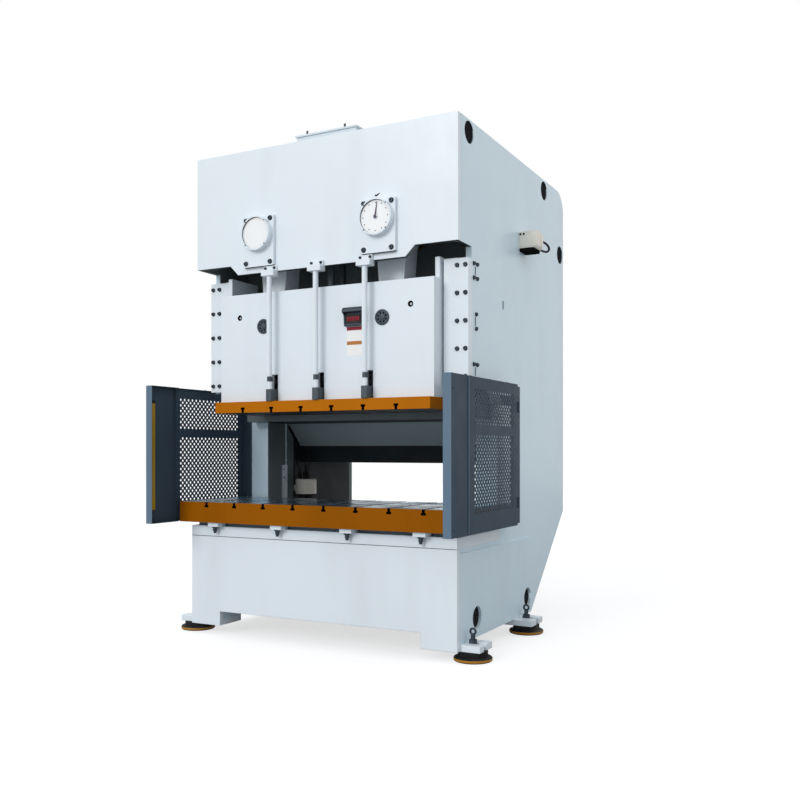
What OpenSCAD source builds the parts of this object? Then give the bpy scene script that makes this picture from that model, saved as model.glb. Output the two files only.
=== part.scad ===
// Gap-frame mechanical stamping press with two suspension points.
// X runs across the press, Y from the front to the back, Z up from the floor.
// The drive is drawn at top dead centre, with the slide at the top of its stroke.

/* [Frame] */
// Width across the outer faces of the side plates
frame_w = 2550; // [2500:10:2700]
// Height of the crown above the floor
frame_h = 4205; // [4150:5:4400]
// Depth from the crown's front face to the rear edge
frame_d = 2608; // [2500:1:2800]
// Thickness of a side plate
side_t = 50; // [40:1:60]
// Setback of the side plates below the crown's overhang
head_setback = 258; // [240:1:280]
// Distance of the overhang's underside below the crown's top
head_drop = 985; // [945:5:1025]
// Height of the top of the throat
throat_top_z = 2130; // [2100:5:2150]
// Depth of the throat behind the crown's front face
throat_y = 800; // [790:1:850]
// Radius of the throat's upper inner corner
throat_r = 150; // [60:5:200]
// Width of the stiffening flange along the throat
throat_flange_w = 140; // [100:5:160]
// Radius of the upper rear corner of the side plates
rear_corner_r = 200; // [100:10:300]
// Radius of the round lifting holes in the side plates
lift_hole_r = 88; // [70:1:95]
// Thickness of the crown's front plate
crown_t = 50; // [40:1:60]
// Distance of the lower edge of the crown's middle below its top
crown_drop = 1069; // [1030:1:1095]
// Distance of the crown's lower middle from a side plate's outer face
crown_tab_in = 455; // [420:1:475]
// Thickness of the crown's inner plates
web_t = 50; // [40:1:50]

/* [Bed] */
// Height of the bed's table face
bed_top_z = 950; // [930:1:970]
// Thickness of the table plate
table_t = 90; // [60:1:100]
// How far the bed stands in front of the crown's face
bed_front = 54; // [40:1:70]
// Thickness of the bed's front plate
apron_t = 50; // [30:1:55]
// How far the bed's front plate stands out from the side plates
apron_proud = 15; // [10:1:25]
// Height of the tunnel between the feet
tunnel_z = 205; // [180:1:240]
// Distance of the tunnel between the feet from a side plate's outer face
tunnel_in = 298; // [275:1:375]
// Height of the underside of the foot plates
foot_z = 80; // [80:1:90]
// Thickness of the foot plates
foot_t = 52; // [40:1:60]
// How far the foot plates stand out from the side plates
foot_reach = 180; // [165:1:205]
// Place of the front levelling mounts behind the crown's face
mount_front_y = 105; // [95:1:115]
// Place of the rear levelling mounts behind the crown's face
mount_rear_y = 1300; // [1250:1:1350]
// Distance of a levelling mount from a side plate's outer face
mount_reach = 77; // [70:1:85]
// Radius of a levelling pad
pad_r = 150; // [120:1:160]

/* [Bolster] */
// Width of the bolster
bolster_w = 2700; // [2600:10:2710]
// Depth of the bolster
bolster_d = 900; // [860:10:910]
// Thickness of the bolster above its foot
bolster_t = 178; // [160:1:180]
// Height of the bolster's foot, which the clamps hold
bolster_foot_t = 36; // [30:1:50]
// Distance between neighbouring T-slots
slot_pitch = 300; // [290:5:300]
// Width of a T-slot's neck
slot_neck = 24; // [18:1:28]
// Width of a T-slot's head
slot_head = 42; // [36:1:50]
// Height of a T-slot's head
slot_head_h = 18; // [14:1:22]
// Depth of a T-slot
slot_depth = 46; // [40:1:52]

/* [Slide] */
// Distance of the slide's side from a side plate's inner face
slide_side_gap = 179; // [178:1:185]
// Front face of the slide's body behind the crown's face
slide_front_y = 51; // [45:1:60]
// Height of the slide's underside at the top of the stroke
slide_bottom_z = 1937; // [1920:1:1960]
// Thickness of the slide plate
slide_plate_t = 95; // [80:1:110]
// Depth of the slide plate
slide_plate_d = 664; // [640:2:670]
// Distance of the slide's upper edge below the crankshafts
slide_top_drop = 491; // [473:1:513]
// Height of the raised side walls above the front plate
ear_h = 172; // [120:1:180]
// Wall thickness of the slide
slide_wall = 40; // [30:1:45]
// Running clearance of the flat guideways
guide_gap = 0.3; // [0.2:0.05:0.5]

/* [Guideways] */
// Thickness of the front gib plates
gib_t = 66; // [50:1:80]
// Height of the guideways' lower end above the top of the throat
gib_rise = 9; // [0:1:20]
// Distance of the guideways' upper end below the crown's top
gib_drop = 1080; // [1075:1:1125]
// Gap between the slide's side and the edge of a gib plate
gib_clear = 18; // [14:1:24]
// Number of screw rows in a gib plate
gib_rows = 5; // [4:1:6]

/* [Drive] */
// Distance of the crankshafts below the crown's top
crank_drop = 740; // [735:1:745]
// Throw of the eccentrics, half the stroke
throw = 140; // [100:1:140]
// Radius of an eccentric
eccentric_r = 255; // [255:1:260]
// Outer radius of a connecting rod's ring
ring_r = 320; // [300:1:322]
// Radius of a crankshaft's journals
journal_r = 110; // [90:1:112]
// Teeth on a main gear, an even number
gear_teeth = 78; // [76:2:80]
// Gap between a main gear's teeth and a side plate
gear_side_gap = 40; // [30:1:45]
// Teeth on a pinion
pinion_teeth = 12; // [12:1:14]
// Width of a main gear
gear_w = 160; // [120:5:170]
// Radius of the flywheel
flywheel_r = 600; // [500:5:610]
// Width of the flywheel
flywheel_w = 230; // [180:5:240]
// Radius of the motor pulley
pulley_r = 125; // [90:1:140]
// Running clearance of every round bearing
bearing_gap = 0.05; // [0.02:0.01:0.1]

/* [Knockout] */
// Distance of the outer knockout bars from the centre line
knock_x = 467; // [460:1:480]
// Width of a knockout bar
knock_w = 54; // [40:1:60]
// Height of a knockout bar
knock_h = 100; // [80:1:110]
// Radius of the fixed stop rods
stop_r = 23; // [18:1:26]
// Distance of the stop rods in front of the crown's face
stop_y = 28; // [27:1:32]

/* [Guards] */
// Distance of a guard's outer face beyond the bolster's end
guard_gap = 83; // [80:1:90]
// Distance of a guard's front edge in front of the crown's face
guard_front = 475; // [450:5:500]
// Distance of a guard's rear edge behind the crown's face
guard_rear = 866; // [860:1:880]
// Lower edge of a guard
guard_z0 = 985; // [960:5:1000]
// Upper edge of a guard
guard_z1 = 2167; // [2150:1:2200]
// Width of a guard's front strip
guard_strip = 66; // [50:1:68]
// Sheet thickness of a guard
sheet_t = 3; // [2:0.5:4]
// Radius of the holes in a guard
perf_r = 10.5; // [8:0.5:12]
// Distance between holes along a guard
perf_pitch_y = 52; // [46:1:56]
// Distance between rows of holes
perf_pitch_z = 25; // [23:0.5:26]

/* [Dials] */
// Width of a shaft cover plate
cover_w = 320; // [300:2:330]
// Height of a shaft cover plate
cover_h = 434; // [420:2:440]
// Thickness of a shaft cover plate
cover_t = 30; // [20:1:35]
// Radius of the drum on a shaft cover plate
drum_r = 147; // [120:1:150]
// Distance of a drum's rim in front of the crown's face
drum_front = 79; // [60:1:90]
// Radius of the sunk dial inside a drum's rim
dial_r = 133; // [128:1:136]
// Depth of the sunk dial
dial_depth = 14; // [8:1:18]

/* [Hidden] */

$fn = 48;
// Overlap of a cutting tool past the face it cuts
cut = 1;
// Clearance between curved faces of bodies that move past each other
curve_gap = 0.4;

// Colours of the paint and the bare metal
paint = "#dfe9f0";
paint_shade = "#c3d1da";
guard_paint = "#46525e";
orange = "#b5720c";
steel = "#9aa2a8";
bronze = "#a07a3c";
dark_steel = "#3a444d";
inner_paint = "#5a6266";

// Frame
side_x = frame_w / 2;
side_in = side_x - side_t;
head_step_z = frame_h - head_drop;
crown_mid_z = frame_h - crown_drop;
crown_tab_x = side_x - crown_tab_in;
apron_x = side_x + apron_proud;
tunnel_x = side_x - tunnel_in;
foot_x = side_x + foot_reach;
mount_x = side_x + mount_reach;
// Levelling pads: chamfer, rim and seat; studs, nuts and eyes
pad_edge = 8;
pad_rim_h = 26;
pad_lip = 6;
pad_seat_in = 34;
stud_rod_r = 18;
stud_rod_h = 70;
stud_nut_r = 34;
stud_nut_h = 30;
eye_rise = 90;
eye_ring_r = 22;
eye_wire_r = 9;
crank_z = frame_h - crank_drop;
// Module of the gears, so that the main gears fill the crown's width
gear_module = (side_in - gear_side_gap) / (gear_teeth + 1);
// Distance of each suspension point from the centre line
point_x = gear_teeth * gear_module / 2;
// The middle of the whole press in depth, which the origin stands under
mid_y = (frame_d - guard_front) / 2;
side_bottom_z = foot_z + foot_t;
throat_flange_t = 40;
bed_rear_run = 350;
bed_rear_y = mount_rear_y + bed_rear_run;
foot_half = 140;
cross_plate_t = 40;
cross_plate_y = [throat_y / 2 - 20, throat_y + 60, bed_rear_y - 240];
foot_slot_r = 25;
foot_wall_t = 30;
table_rear_gap = 150;
// Height at which the rear edge starts to slope in to the bed
rear_slope_z = bed_top_z + 50;
// Top face of the thin plate that closes the crown
top_sheet_t = 12;
// The side plates are doubled below this height
doubler_z = bed_top_z - 128;
doubler_rear_y = bed_rear_y - 60;
// Depth from the gib plates' rear faces to the inner plate behind the slide
slide_bay = 402;
mid_plate_y = head_setback + slide_bay;
// Ceiling of the throat behind the slide
ceiling_drop = 56;
ceiling_z = slide_bottom_z - ceiling_drop;
ceiling_t = 40;
// Flat length of the ceiling, its slope, and the face of the rear cross beam below the slope
ceiling_run = 675;
slope_run = 216;
slope_fall = 224;
beam_h = 168;
slope_y0 = mid_plate_y + ceiling_run;
slope_y1 = slope_y0 + slope_run;
slope_z = ceiling_z - slope_fall;
window_z = slope_z - beam_h;
slope_miter = 17;
beam_rear_gap = 20;
// Slot through each side plate above the throat
side_slot = [throat_y + 138, frame_h - 1371];
side_slot_r = 20;
side_slot_h = 38;

// Lifting holes: [distance behind the crown's face, height]
lift_holes = [
    [207, frame_h - 102], [frame_d - 601, frame_h - 105], [frame_d - 111, frame_h - 628],
    [334, side_bottom_z + 156], [bed_rear_y - 144, side_bottom_z + 146]
];

// Bolster
bolster_z0 = bed_top_z + bolster_foot_t;
bolster_z1 = bolster_z0 + bolster_t;
bolster_rear_gap = 45.5;
bolster_y0 = throat_y - bolster_rear_gap - bolster_d;
bolster_foot_in = 91.5;
bolster_foot_front = 151.5;
bolster_foot_rear = 20;
clamp_in = 350;
clamp_x = [clamp_in - bolster_w / 2, -340, 340, bolster_w / 2 - clamp_in];
clamp_w = 110;
clamp_d = 105;
clamp_setback = 25;
clamp_screw_y = bolster_y0 + 55;
clamp_screw_r = 12;
clamp_washer_r = 27;
clamp_washer_t = 12;
clamp_nut_r = 20;
clamp_nut_h = 28;
clamp_tip_r = 13;
clamp_tip_h = 18;

// Slide
slide_x = side_in - slide_side_gap;
press_y = slide_front_y + 254;
slide_back_y = press_y + 250;
slide_z0 = slide_bottom_z + slide_plate_t;
slide_z1 = crank_z - slide_top_drop;
ear_z1 = slide_z1 + ear_h;
ear_front_y = slide_front_y + 104;
slide_plate_x = slide_x + 4;
slide_plate_front = 78;
deck_z = slide_z0 + 238;
deck_t = 50;
floor_t = 50;
guide_rib_w = 102;
guide_rib_x = slide_x + guide_rib_w;
guide_rib_y0 = head_setback + guide_gap;
guide_rib_y1 = head_setback + 182;
web_w = 30;
lower_web_x = [240, 720];
rear_drop = 60;
tie_drop = 120;
tie_t = 40;
tie_reach = 140;
ear_back = 20;
web_drop = 10;
vent_z = slide_z1 - 291;
vent_r = 64;
vent_t = 8;
vent_hub_r = 18;
vent_hub_t = 6;
blind_hole_x = slide_x - 206;
blind_hole_z = slide_z1 - 202;
blind_hole_r = 24;
blind_hole_d = 22;
hood_x0 = 240;
hood_x1 = 425;
hood_z0 = slide_z1 - 347;
hood_wall = 12;
// Ball seats under the connecting rods
seat_r = 150;
seat_h = 200;
seat_tube_r = 200;
seat_top_z = slide_z0 + 528;
ball_r = 90;
// Free room that the opened pivot needs between ball and seat
ball_room = 35;
ball_z = seat_top_z + ball_room + ball_r;
rod_room_x = 295;

// Guideways
gib_z0 = throat_top_z + gib_rise;
gib_z1 = frame_h - gib_drop;
gib_x = slide_x + gib_clear;
rear_jaw_y = guide_rib_y1 + guide_gap;
guide_block_x = guide_rib_x + guide_gap;
rear_jaw_x = slide_x + 4;
gib_y = head_setback - gib_t;
gib_screw_x = [gib_x + 115, side_x - side_t / 2];
gib_screw_r = 15;
gib_head_h = 18;
gib_edge = 55;
gib_pitch = (gib_z1 - gib_z0 - 2 * gib_edge) / (gib_rows - 1);
gib_screw_z = [for (i = [0:gib_rows - 1]) gib_z0 + gib_edge + i * gib_pitch];
// Groups of screws and keys on the side plates, counted down from the top of the guideways
side_groups = 3;
side_group_edge = 87;
side_group_foot = 99;
side_group_z = gib_z1 - side_group_edge;
side_group_pitch = (side_group_z - gib_z0 - side_group_foot) / (side_groups - 1);
side_screw_pair = [head_setback + 42, head_setback + 108];
side_screw_y = [side_screw_pair, [head_setback + 87], side_screw_pair];
side_screw_dz = 57;
side_screw_r = 15;
key_y = head_setback + 66;
key_w = 10;
key_h = 68;
key_proud = 4;

// Drive
gear_pitch_r = point_x;
pinion_pitch_r = pinion_teeth * gear_module / 2;
gear_gap = 50;
gear_y = mid_plate_y + web_t + gear_gap;
rear_plate_y = gear_y + gear_w + gear_gap + 10;
// Depth of the bay that holds the motor
motor_bay = 720;
support_y = rear_plate_y + motor_bay;
// Angle of the pinion seen from the right crankshaft, on the middle of a tooth
pinion_step = round(gear_teeth * 2 / 3);
pinion_angle = pinion_step * 360 / gear_teeth;
pinion_x = point_x + (gear_pitch_r + pinion_pitch_r) * cos(pinion_angle);
pinion_z = crank_z + (gear_pitch_r + pinion_pitch_r) * sin(pinion_angle);
pinion_r = 70;
backlash = 0.7;
eccentric_w = 220;
rod_w = 200;
crank_pin_z = crank_z + throw;
bush_t = 20;
bush_r = journal_r + bush_t;
bush_w = web_t + 10;
shaft_front = 4;
nose_r = 20;
gear_hub_r = journal_r + 70;
gear_hub_proud = 30;
gear_rim = 75;
gear_recess = 45;
gear_hole_x = 345;
gear_hole_r = 88;
rod_neck_x = [185, 140, 100];
rod_neck_z = [220, 320];
ball_neck_r = 70;
ball_neck_h = 130;
flywheel_gap = 60;
flywheel_y = support_y + web_t + flywheel_gap;
flywheel_rim = 110;
flywheel_recess = 65;
flywheel_hub_r = 170;
flywheel_hole_x = flywheel_r - 275;
flywheel_hole_r = 80;
clutch_r = 260;
clutch_gap = 15;
clutch_t = 30;
brake_r = 200;
brake_w = 105;
motor_side = 65;
motor_rise = 285;
motor_x = -point_x - motor_side;
motor_z = crank_z + motor_rise;
motor_r = 190;
motor_len = 520;
motor_flange = 45;
motor_flange_t = 20;
fan_cover_w = 70;
motor_shaft_r = 30;
terminal_box = [220, 180, 110];
terminal_box_y = support_y - 330;
pulley_flange = 10;
pulley_flange_t = 8;
belt_w = 140;
belt_t = 14;
belt_y = flywheel_y + 45;
// Cut-outs in the two rear plates: [lower left corner, size]
rear_cut = [340, 360];
rear_cut_z = ceiling_z + 140;
rear_cuts = [for (x = [155 - side_in, 755 - side_in, side_in - 745]) [[x, rear_cut_z], rear_cut]];
support_cuts = [
    [[side_in - 775, crank_z + 60], [400, 400]],
    [[325 - side_in, window_z + 340], [400, 400]],
    [[325 - side_in, window_z + 800], [400, 240]]
];

// Knockout
knock_places = [-knock_x, 0, knock_x];
knock_z = slide_z0 + guide_gap;
knock_front_y = -41;
knock_back_y = slide_back_y + 92;
knock_slot_w = knock_w + 10;
knock_slot_z = slide_z0 + 230;
stop_end_z = knock_z + knock_h + 110;
knock_neck_r = 19;
knock_neck_h = 66;
knock_head_r = 27;
knock_head_h = 40;
knock_screw_y = 8 - stop_y;
bracket_w = 128;
bracket_screw_x = 46;
bracket_screw_r = 10;
bracket_screw_h = 12;
bracket_lip = 20;
bracket_shelf = 6;
bracket_z0 = crown_mid_z - 44;
bracket_z1 = crown_mid_z + 46;
bracket_d = 62;

// Guards, which stand clear of the bolster and of the side plates
guard_side_gap = 158;
guard_x = max(bolster_w / 2 + guard_gap, side_x + guard_side_gap);
guard_fold = 28;
curtain_gap_low = 118;
curtain_gap_high = 151;
curtain_w = 40;
curtain_d = 44;
curtain_cap = 26;
knuckle_h = 60;
hinge_x = guard_x + 3;
hinge_y = guard_rear + 12;
hinge_r = 10;
hinge_pin_r = 5;
hinge_len = 88;
hinge_z = [guard_z0 + 146, guard_z1 - 236];
post_w = 60;
post_wall = 4;
post_arm_h = 80;
post_x = guard_x - 8;
post_y = hinge_y + 2;
perf_y0 = -40;
perf_cols = 16;
// Fields of holes in a guard: [height of the first row, number of rows]
perf_fields = [[guard_z0 + 160, 24], [guard_z0 + 832, 11]];
channel_rear_y = -130;

// Dials
cover_z = crank_z - 62;
cover_screw_x = 126;
cover_screw_z = 185;
cover_screw_r = 17;
cover_screw_h = 16;
cover_corner_r = 14;
dial_y = dial_depth - drum_front;
pointer_lean = 8;
pointer_len = 118;
pointer_t = 3;
pointer_hub_r = 12;

// Lid on top of the crown
lid_x = 38;
lid_y = 60;
lid_w = 604;
lid_d = 380;
lid_h = 71;
lid_plate_t = 14;
lid_lip = 12;
lid_tab_left = 80;
lid_tab_right = 22;
lid_tab_h = 34;
lid_stud_x = [-200, 174];
lid_stud_y = 150;
lid_stud_r = 9;
lid_stud_h = 61;

// Lubrication unit and the oil distributor on the left inner wall
oil_x = 110 - side_in;
oil_y = slope_y0 + 165;
oil_z = bed_top_z + 155;
oil_r = 108;
oil_h = 214;
oil_pump_r = 30;
oil_pump_h = 74;
oil_outlet_r = 14;
oil_outlet_h = 58;
oil_bowl_in = 46;
oil_bowl_h = 60;
oil_lip = 8;
oil_edge = 12;
oil_arm = 60;
oil_arm_z = 90;
oil_outlet_ring = 76;
strip_y = slope_y0 - 112;
strip_w = 74;
strip_t = 20;
strip_z0 = bed_top_z + 116;
strip_z1 = bed_top_z + 514;
strip_dot_r = 7;
strip_dot_h = 5;
strip_dot_drops = [46, 126];

// Balance cylinders
balance_y = 90;
balance_r = 72;
balance_rise = 104;
balance_h = 700;
balance_rod_r = 30;
balance_piston_r = 60;
balance_cap_t = 40;

// Junction box on the right side plate
box_y = frame_d - 1284;
box_d = 187;
box_w = 162;
box_z0 = frame_h - 823;
box_h = 179;
box_r = 35;
// Route of the held cable, seen from the lower inner corner of the junction box's rear face
cable_r = 10;
cable_sides = 8;
cable_mouth = [side_x, box_y + box_d, box_z0];
cable_route = [
    [133, 0, 122], [134, 29, 124], [137, 69, 126], [143, 111, 124], [149, 151, 116],
    [153, 181, 102], [154, 192, 86], [152, 187, 68], [147, 163, 54], [140, 129, 47],
    [134, 89, 45], [129, 49, 46], [127, 19, 47], [127, 0, 47]
];

// Moves a shape from the crown's front face to the origin under the press
module press() {
    translate([0, -mid_y, 0]) children();
}

// Repeats a shape on both sides of the centre line
module both_sides() {
    children();
    mirror([1, 0, 0]) children();
}

// A cylinder that runs towards the back, from depth y0 to depth y1
module y_cyl(x, z, r, y0, y1) {
    translate([x, y1, z]) rotate([90, 0, 0]) cylinder(r = r, h = y1 - y0);
}

// A cylinder that runs to the right, from x0 to x1
module x_cyl(y, z, r, x0, x1) {
    translate([x0, y, z]) rotate([0, 90, 0]) cylinder(r = r, h = x1 - x0);
}

// A block between two opposite corners
module block(p0, p1) {
    translate(p0) cube(p1 - p0);
}

// A profile in depth and height, run across from x0 to x1
module across(x0, x1) {
    translate([x0, 0, 0]) rotate([90, 0, 90]) linear_extrude(x1 - x0) children();
}

// A profile in width and height, run back from y0 to y1
module back(y0, y1) {
    translate([0, y1, 0]) rotate([90, 0, 0]) linear_extrude(y1 - y0) children();
}

// A rectangle with round corners, centred on the origin
module rounded_plate(w, h, r) {
    square([w, h - 2 * r], center = true);
    square([w - 2 * r, h], center = true);
    for (x = [r - w / 2, w / 2 - r], y = [r - h / 2, h / 2 - r]) translate([x, y]) circle(r = r);
}

// A socket head screw whose head stands on a face that looks to the front
module front_screw(x, y, z, r, head_h, length) {
    y_cyl(x, z, r, y - head_h, y);
    y_cyl(x, z, r * 0.6, y - cut, y + length);
}

// Outline of a side plate in depth and height
module side_outline() {
    difference() {
        union() {
            polygon([
                [apron_t - bed_front, side_bottom_z], [bed_rear_y, side_bottom_z],
                [frame_d, rear_slope_z], [frame_d, frame_h - rear_corner_r],
                [frame_d - rear_corner_r, frame_h], [crown_t, frame_h],
                [crown_t, head_step_z], [head_setback, head_step_z],
                [head_setback, throat_top_z], [throat_y - throat_r, throat_top_z],
                [throat_y, throat_top_z - throat_r], [throat_y, bed_top_z - table_t],
                [apron_t - bed_front, bed_top_z - table_t]
            ]);
            translate([frame_d - rear_corner_r, frame_h - rear_corner_r]) circle(r = rear_corner_r);
            difference() {
                translate([throat_y - throat_r, throat_top_z - throat_r])
                    square([throat_r, throat_r]);
                translate([throat_y - throat_r, throat_top_z - throat_r]) circle(r = throat_r);
            }
        }
        for (hole = lift_holes) translate(hole) circle(r = lift_hole_r);
        for (dz = [0, side_slot_h]) translate(side_slot + [0, dz]) circle(r = side_slot_r);
        translate(side_slot - [side_slot_r, 0]) square([2 * side_slot_r, side_slot_h]);
    }
}

// Right side plate with its throat flange and the doubled plate of the bed
module side_frame() {
    press() {
        across(side_in, side_x) side_outline();
        across(side_x, apron_x) difference() {
            polygon([
                [apron_t - bed_front, side_bottom_z], [doubler_rear_y, side_bottom_z],
                [doubler_rear_y, doubler_z], [apron_t - bed_front, doubler_z]
            ]);
            for (hole = lift_holes) translate(hole) circle(r = lift_hole_r);
        }
        block([side_in - throat_flange_w, throat_y, bed_top_z],
              [side_in, throat_y + throat_flange_t, ceiling_z]);
    }
}

module side_frame_right() {
    color(paint_shade) side_frame();
}

module side_frame_left() {
    color(paint_shade) mirror([1, 0, 0]) side_frame();
}

// Front plate of the crown, with the lower middle that hides the drive
module crown_front_plate() {
    color(paint) press() difference() {
        back(0, crown_t) polygon([
            [-side_x, frame_h], [side_x, frame_h], [side_x, head_step_z],
            [crown_tab_x + head_step_z - crown_mid_z, head_step_z],
            [crown_tab_x, crown_mid_z], [-crown_tab_x, crown_mid_z],
            [-crown_tab_x - head_step_z + crown_mid_z, head_step_z], [-side_x, head_step_z]
        ]);
        for (x = [-point_x, point_x]) y_cyl(x, crank_z, bush_r, -cut, crown_t + cut);
    }
}

// Inner plate behind the slide, which carries the crankshafts' second bearings
module crown_mid_plate() {
    color(inner_paint) press() difference() {
        block([-side_in, mid_plate_y, ceiling_z + ceiling_t],
              [side_in, mid_plate_y + web_t, frame_h - top_sheet_t]);
        for (x = [-point_x, point_x])
            y_cyl(x, crank_z, bush_r, mid_plate_y - cut, mid_plate_y + web_t + cut);
        y_cyl(pinion_x, pinion_z, pinion_r + bearing_gap, mid_plate_y - cut, mid_plate_y + web_t + cut);
    }
}

// Plate behind the main gears
module crown_rear_plate() {
    color(inner_paint) press() difference() {
        block([-side_in, rear_plate_y, ceiling_z + ceiling_t],
              [side_in, rear_plate_y + web_t, frame_h - top_sheet_t]);
        for (x = [-point_x, point_x])
            y_cyl(x, crank_z, bush_r, rear_plate_y - cut, rear_plate_y + web_t + cut);
        y_cyl(pinion_x, pinion_z, pinion_r + bearing_gap, rear_plate_y - cut, rear_plate_y + web_t + cut);
        back(rear_plate_y - cut, rear_plate_y + web_t + cut)
            for (c = rear_cuts) translate(c[0]) square(c[1]);
    }
}

// Plate that carries the flywheel end of the pinion shaft, and the motor
module drive_support_plate() {
    color(inner_paint) press() difference() {
        block([-side_in, support_y, window_z + ceiling_t],
              [side_in, support_y + web_t, frame_h - top_sheet_t]);
        y_cyl(pinion_x, pinion_z, pinion_r + bearing_gap, support_y - cut, support_y + web_t + cut);
        y_cyl(motor_x, motor_z, motor_shaft_r + 10, support_y - cut, support_y + web_t + cut);
        back(support_y - cut, support_y + web_t + cut)
            for (c = support_cuts) translate(c[0]) square(c[1]);
    }
}

// Thin plate that closes the crown between the side plates
module crown_top_plate() {
    color(paint) press()
        block([-side_in, crown_t, frame_h - top_sheet_t],
              [side_in, frame_d - rear_corner_r, frame_h]);
}

// Bent ceiling of the throat, with the slope and the rear cross beam
module throat_web() {
    color(inner_paint) press() across(-side_in, side_in) polygon([
        [mid_plate_y, ceiling_z], [slope_y0, ceiling_z], [slope_y1, slope_z],
        [slope_y1, window_z], [frame_d - beam_rear_gap, window_z],
        [frame_d - beam_rear_gap, window_z + ceiling_t], [slope_y1 + ceiling_t, window_z + ceiling_t],
        [slope_y1 + ceiling_t, slope_z + slope_miter], [slope_y0 + slope_miter, ceiling_z + ceiling_t],
        [mid_plate_y, ceiling_z + ceiling_t]
    ]);
}

// Front plate of the bed, cut out between its feet
module bed_front_plate() {
    color(paint) press() back(-bed_front, apron_t - bed_front) polygon([
        [-apron_x, foot_z], [-tunnel_x, foot_z], [-tunnel_x, tunnel_z], [tunnel_x, tunnel_z],
        [tunnel_x, foot_z], [apron_x, foot_z], [apron_x, bed_top_z - table_t],
        [-apron_x, bed_top_z - table_t]
    ]);
}

// Thick table plate that the bolster stands on
module bed_table_plate() {
    color(paint) press() {
        block([-apron_x, -bed_front, bed_top_z - table_t], [apron_x, throat_y, bed_top_z]);
        block([-side_in, throat_y, bed_top_z - table_t],
              [side_in, bed_rear_y - table_rear_gap, bed_top_z]);
    }
}

// Front face of the foot plate under a mount
function foot_front(y) = max(y - foot_half, apron_t - bed_front);

// Cross plates of the bed between the side plates, and the inner walls of the feet
module bed_cross_plates() {
    color(paint_shade) press() {
        for (y = cross_plate_y)
            block([-side_in, y, tunnel_z], [side_in, y + cross_plate_t, bed_top_z - table_t]);
        for (y = [mount_front_y, mount_rear_y]) both_sides()
            block([tunnel_x, foot_front(y), side_bottom_z],
                  [tunnel_x + foot_wall_t, y + foot_half, tunnel_z]);
    }
}

// Foot plates under the side plates, each slotted for its levelling stud
module foot_plates() {
    color(paint_shade) press() for (y = [mount_front_y, mount_rear_y]) both_sides() difference() {
        block([tunnel_x, foot_front(y), foot_z], [foot_x, y + foot_half, side_bottom_z]);
        block([mount_x, y - foot_slot_r, foot_z - cut],
              [foot_x + cut, y + foot_slot_r, side_bottom_z + cut]);
        translate([mount_x, y, foot_z - cut]) cylinder(r = foot_slot_r, h = foot_t + 2 * cut);
    }
}

// Levelling pads on the floor
module levelling_pads() {
    color("#a8741a") press() for (y = [mount_front_y, mount_rear_y]) both_sides()
        translate([mount_x, y, 0]) rotate_extrude($fn = 96) polygon([
            [0, 0], [pad_r - pad_edge, 0], [pad_r, pad_edge], [pad_r, pad_rim_h],
            [pad_r - pad_lip, pad_rim_h + pad_lip], [pad_r - pad_seat_in, pad_rim_h + 2 * pad_lip],
            [pad_r - pad_seat_in, foot_z], [0, foot_z]
        ]);
}

// Studs, nuts and eyes of the levelling mounts
module levelling_studs() {
    color(dark_steel) press() for (y = [mount_front_y, mount_rear_y]) both_sides()
        translate([mount_x, y, foot_z]) {
            cylinder(r = stud_rod_r, h = foot_t + stud_rod_h);
            translate([0, 0, foot_t]) cylinder(r = stud_nut_r, h = stud_nut_h, $fn = 6);
            translate([0, 0, foot_t + eye_rise]) rotate([90, 0, 0])
                rotate_extrude() translate([eye_ring_r, 0]) circle(r = eye_wire_r);
        }
}

// Black plugs in the lifting holes
module lift_hole_plugs() {
    color("#2b2c2f") press() both_sides() for (hole = lift_holes)
        x_cyl(hole[0], hole[1], lift_hole_r, side_x - 16, side_x - 8);
}

// T-slot profile, neck up, from the origin down
module t_slot() {
    translate([-slot_neck / 2, -slot_depth]) square([slot_neck, slot_depth + cut]);
    translate([-slot_head / 2, -slot_depth]) square([slot_head, slot_head_h]);
}

// Bolster with its T-slots and the narrower foot that the clamps hold
module bolster() {
    color(orange) press() {
        back(bolster_y0, bolster_y0 + bolster_d) difference() {
            translate([-bolster_w / 2, bolster_z0]) square([bolster_w, bolster_t]);
            for (i = [-3.5:1:3.5]) translate([i * slot_pitch, bolster_z1]) t_slot();
        }
        block([-bolster_w / 2 + bolster_foot_in, bolster_y0 + bolster_foot_front, bed_top_z],
              [bolster_w / 2 - bolster_foot_in, bolster_y0 + bolster_d - bolster_foot_rear, bolster_z0]);
    }
}

// Blocks that clamp the front of the bolster
module bolster_clamps() {
    color(paint) press() for (x = clamp_x) difference() {
        block([x - clamp_w / 2, bolster_y0 + clamp_setback, bed_top_z],
              [x + clamp_w / 2, bolster_y0 + clamp_setback + clamp_d, bolster_z0]);
        translate([x, clamp_screw_y, bed_top_z - cut])
            cylinder(r = clamp_screw_r + 1, h = bolster_foot_t + 2 * cut);
    }
}

// Screws that draw the clamps up, with their heads below the overhang
module clamp_bolts() {
    color(dark_steel) press() for (x = clamp_x) translate([x, clamp_screw_y, bed_top_z]) {
        translate([0, 0, -clamp_washer_t]) cylinder(r = clamp_washer_r, h = clamp_washer_t);
        translate([0, 0, -clamp_washer_t - clamp_nut_h])
            cylinder(r = clamp_nut_r, h = clamp_nut_h, $fn = 6);
        translate([0, 0, -clamp_washer_t - clamp_nut_h - clamp_tip_h])
            cylinder(r = clamp_tip_r, h = clamp_tip_h);
        cylinder(r = clamp_screw_r, h = bolster_foot_t);
    }
}

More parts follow.
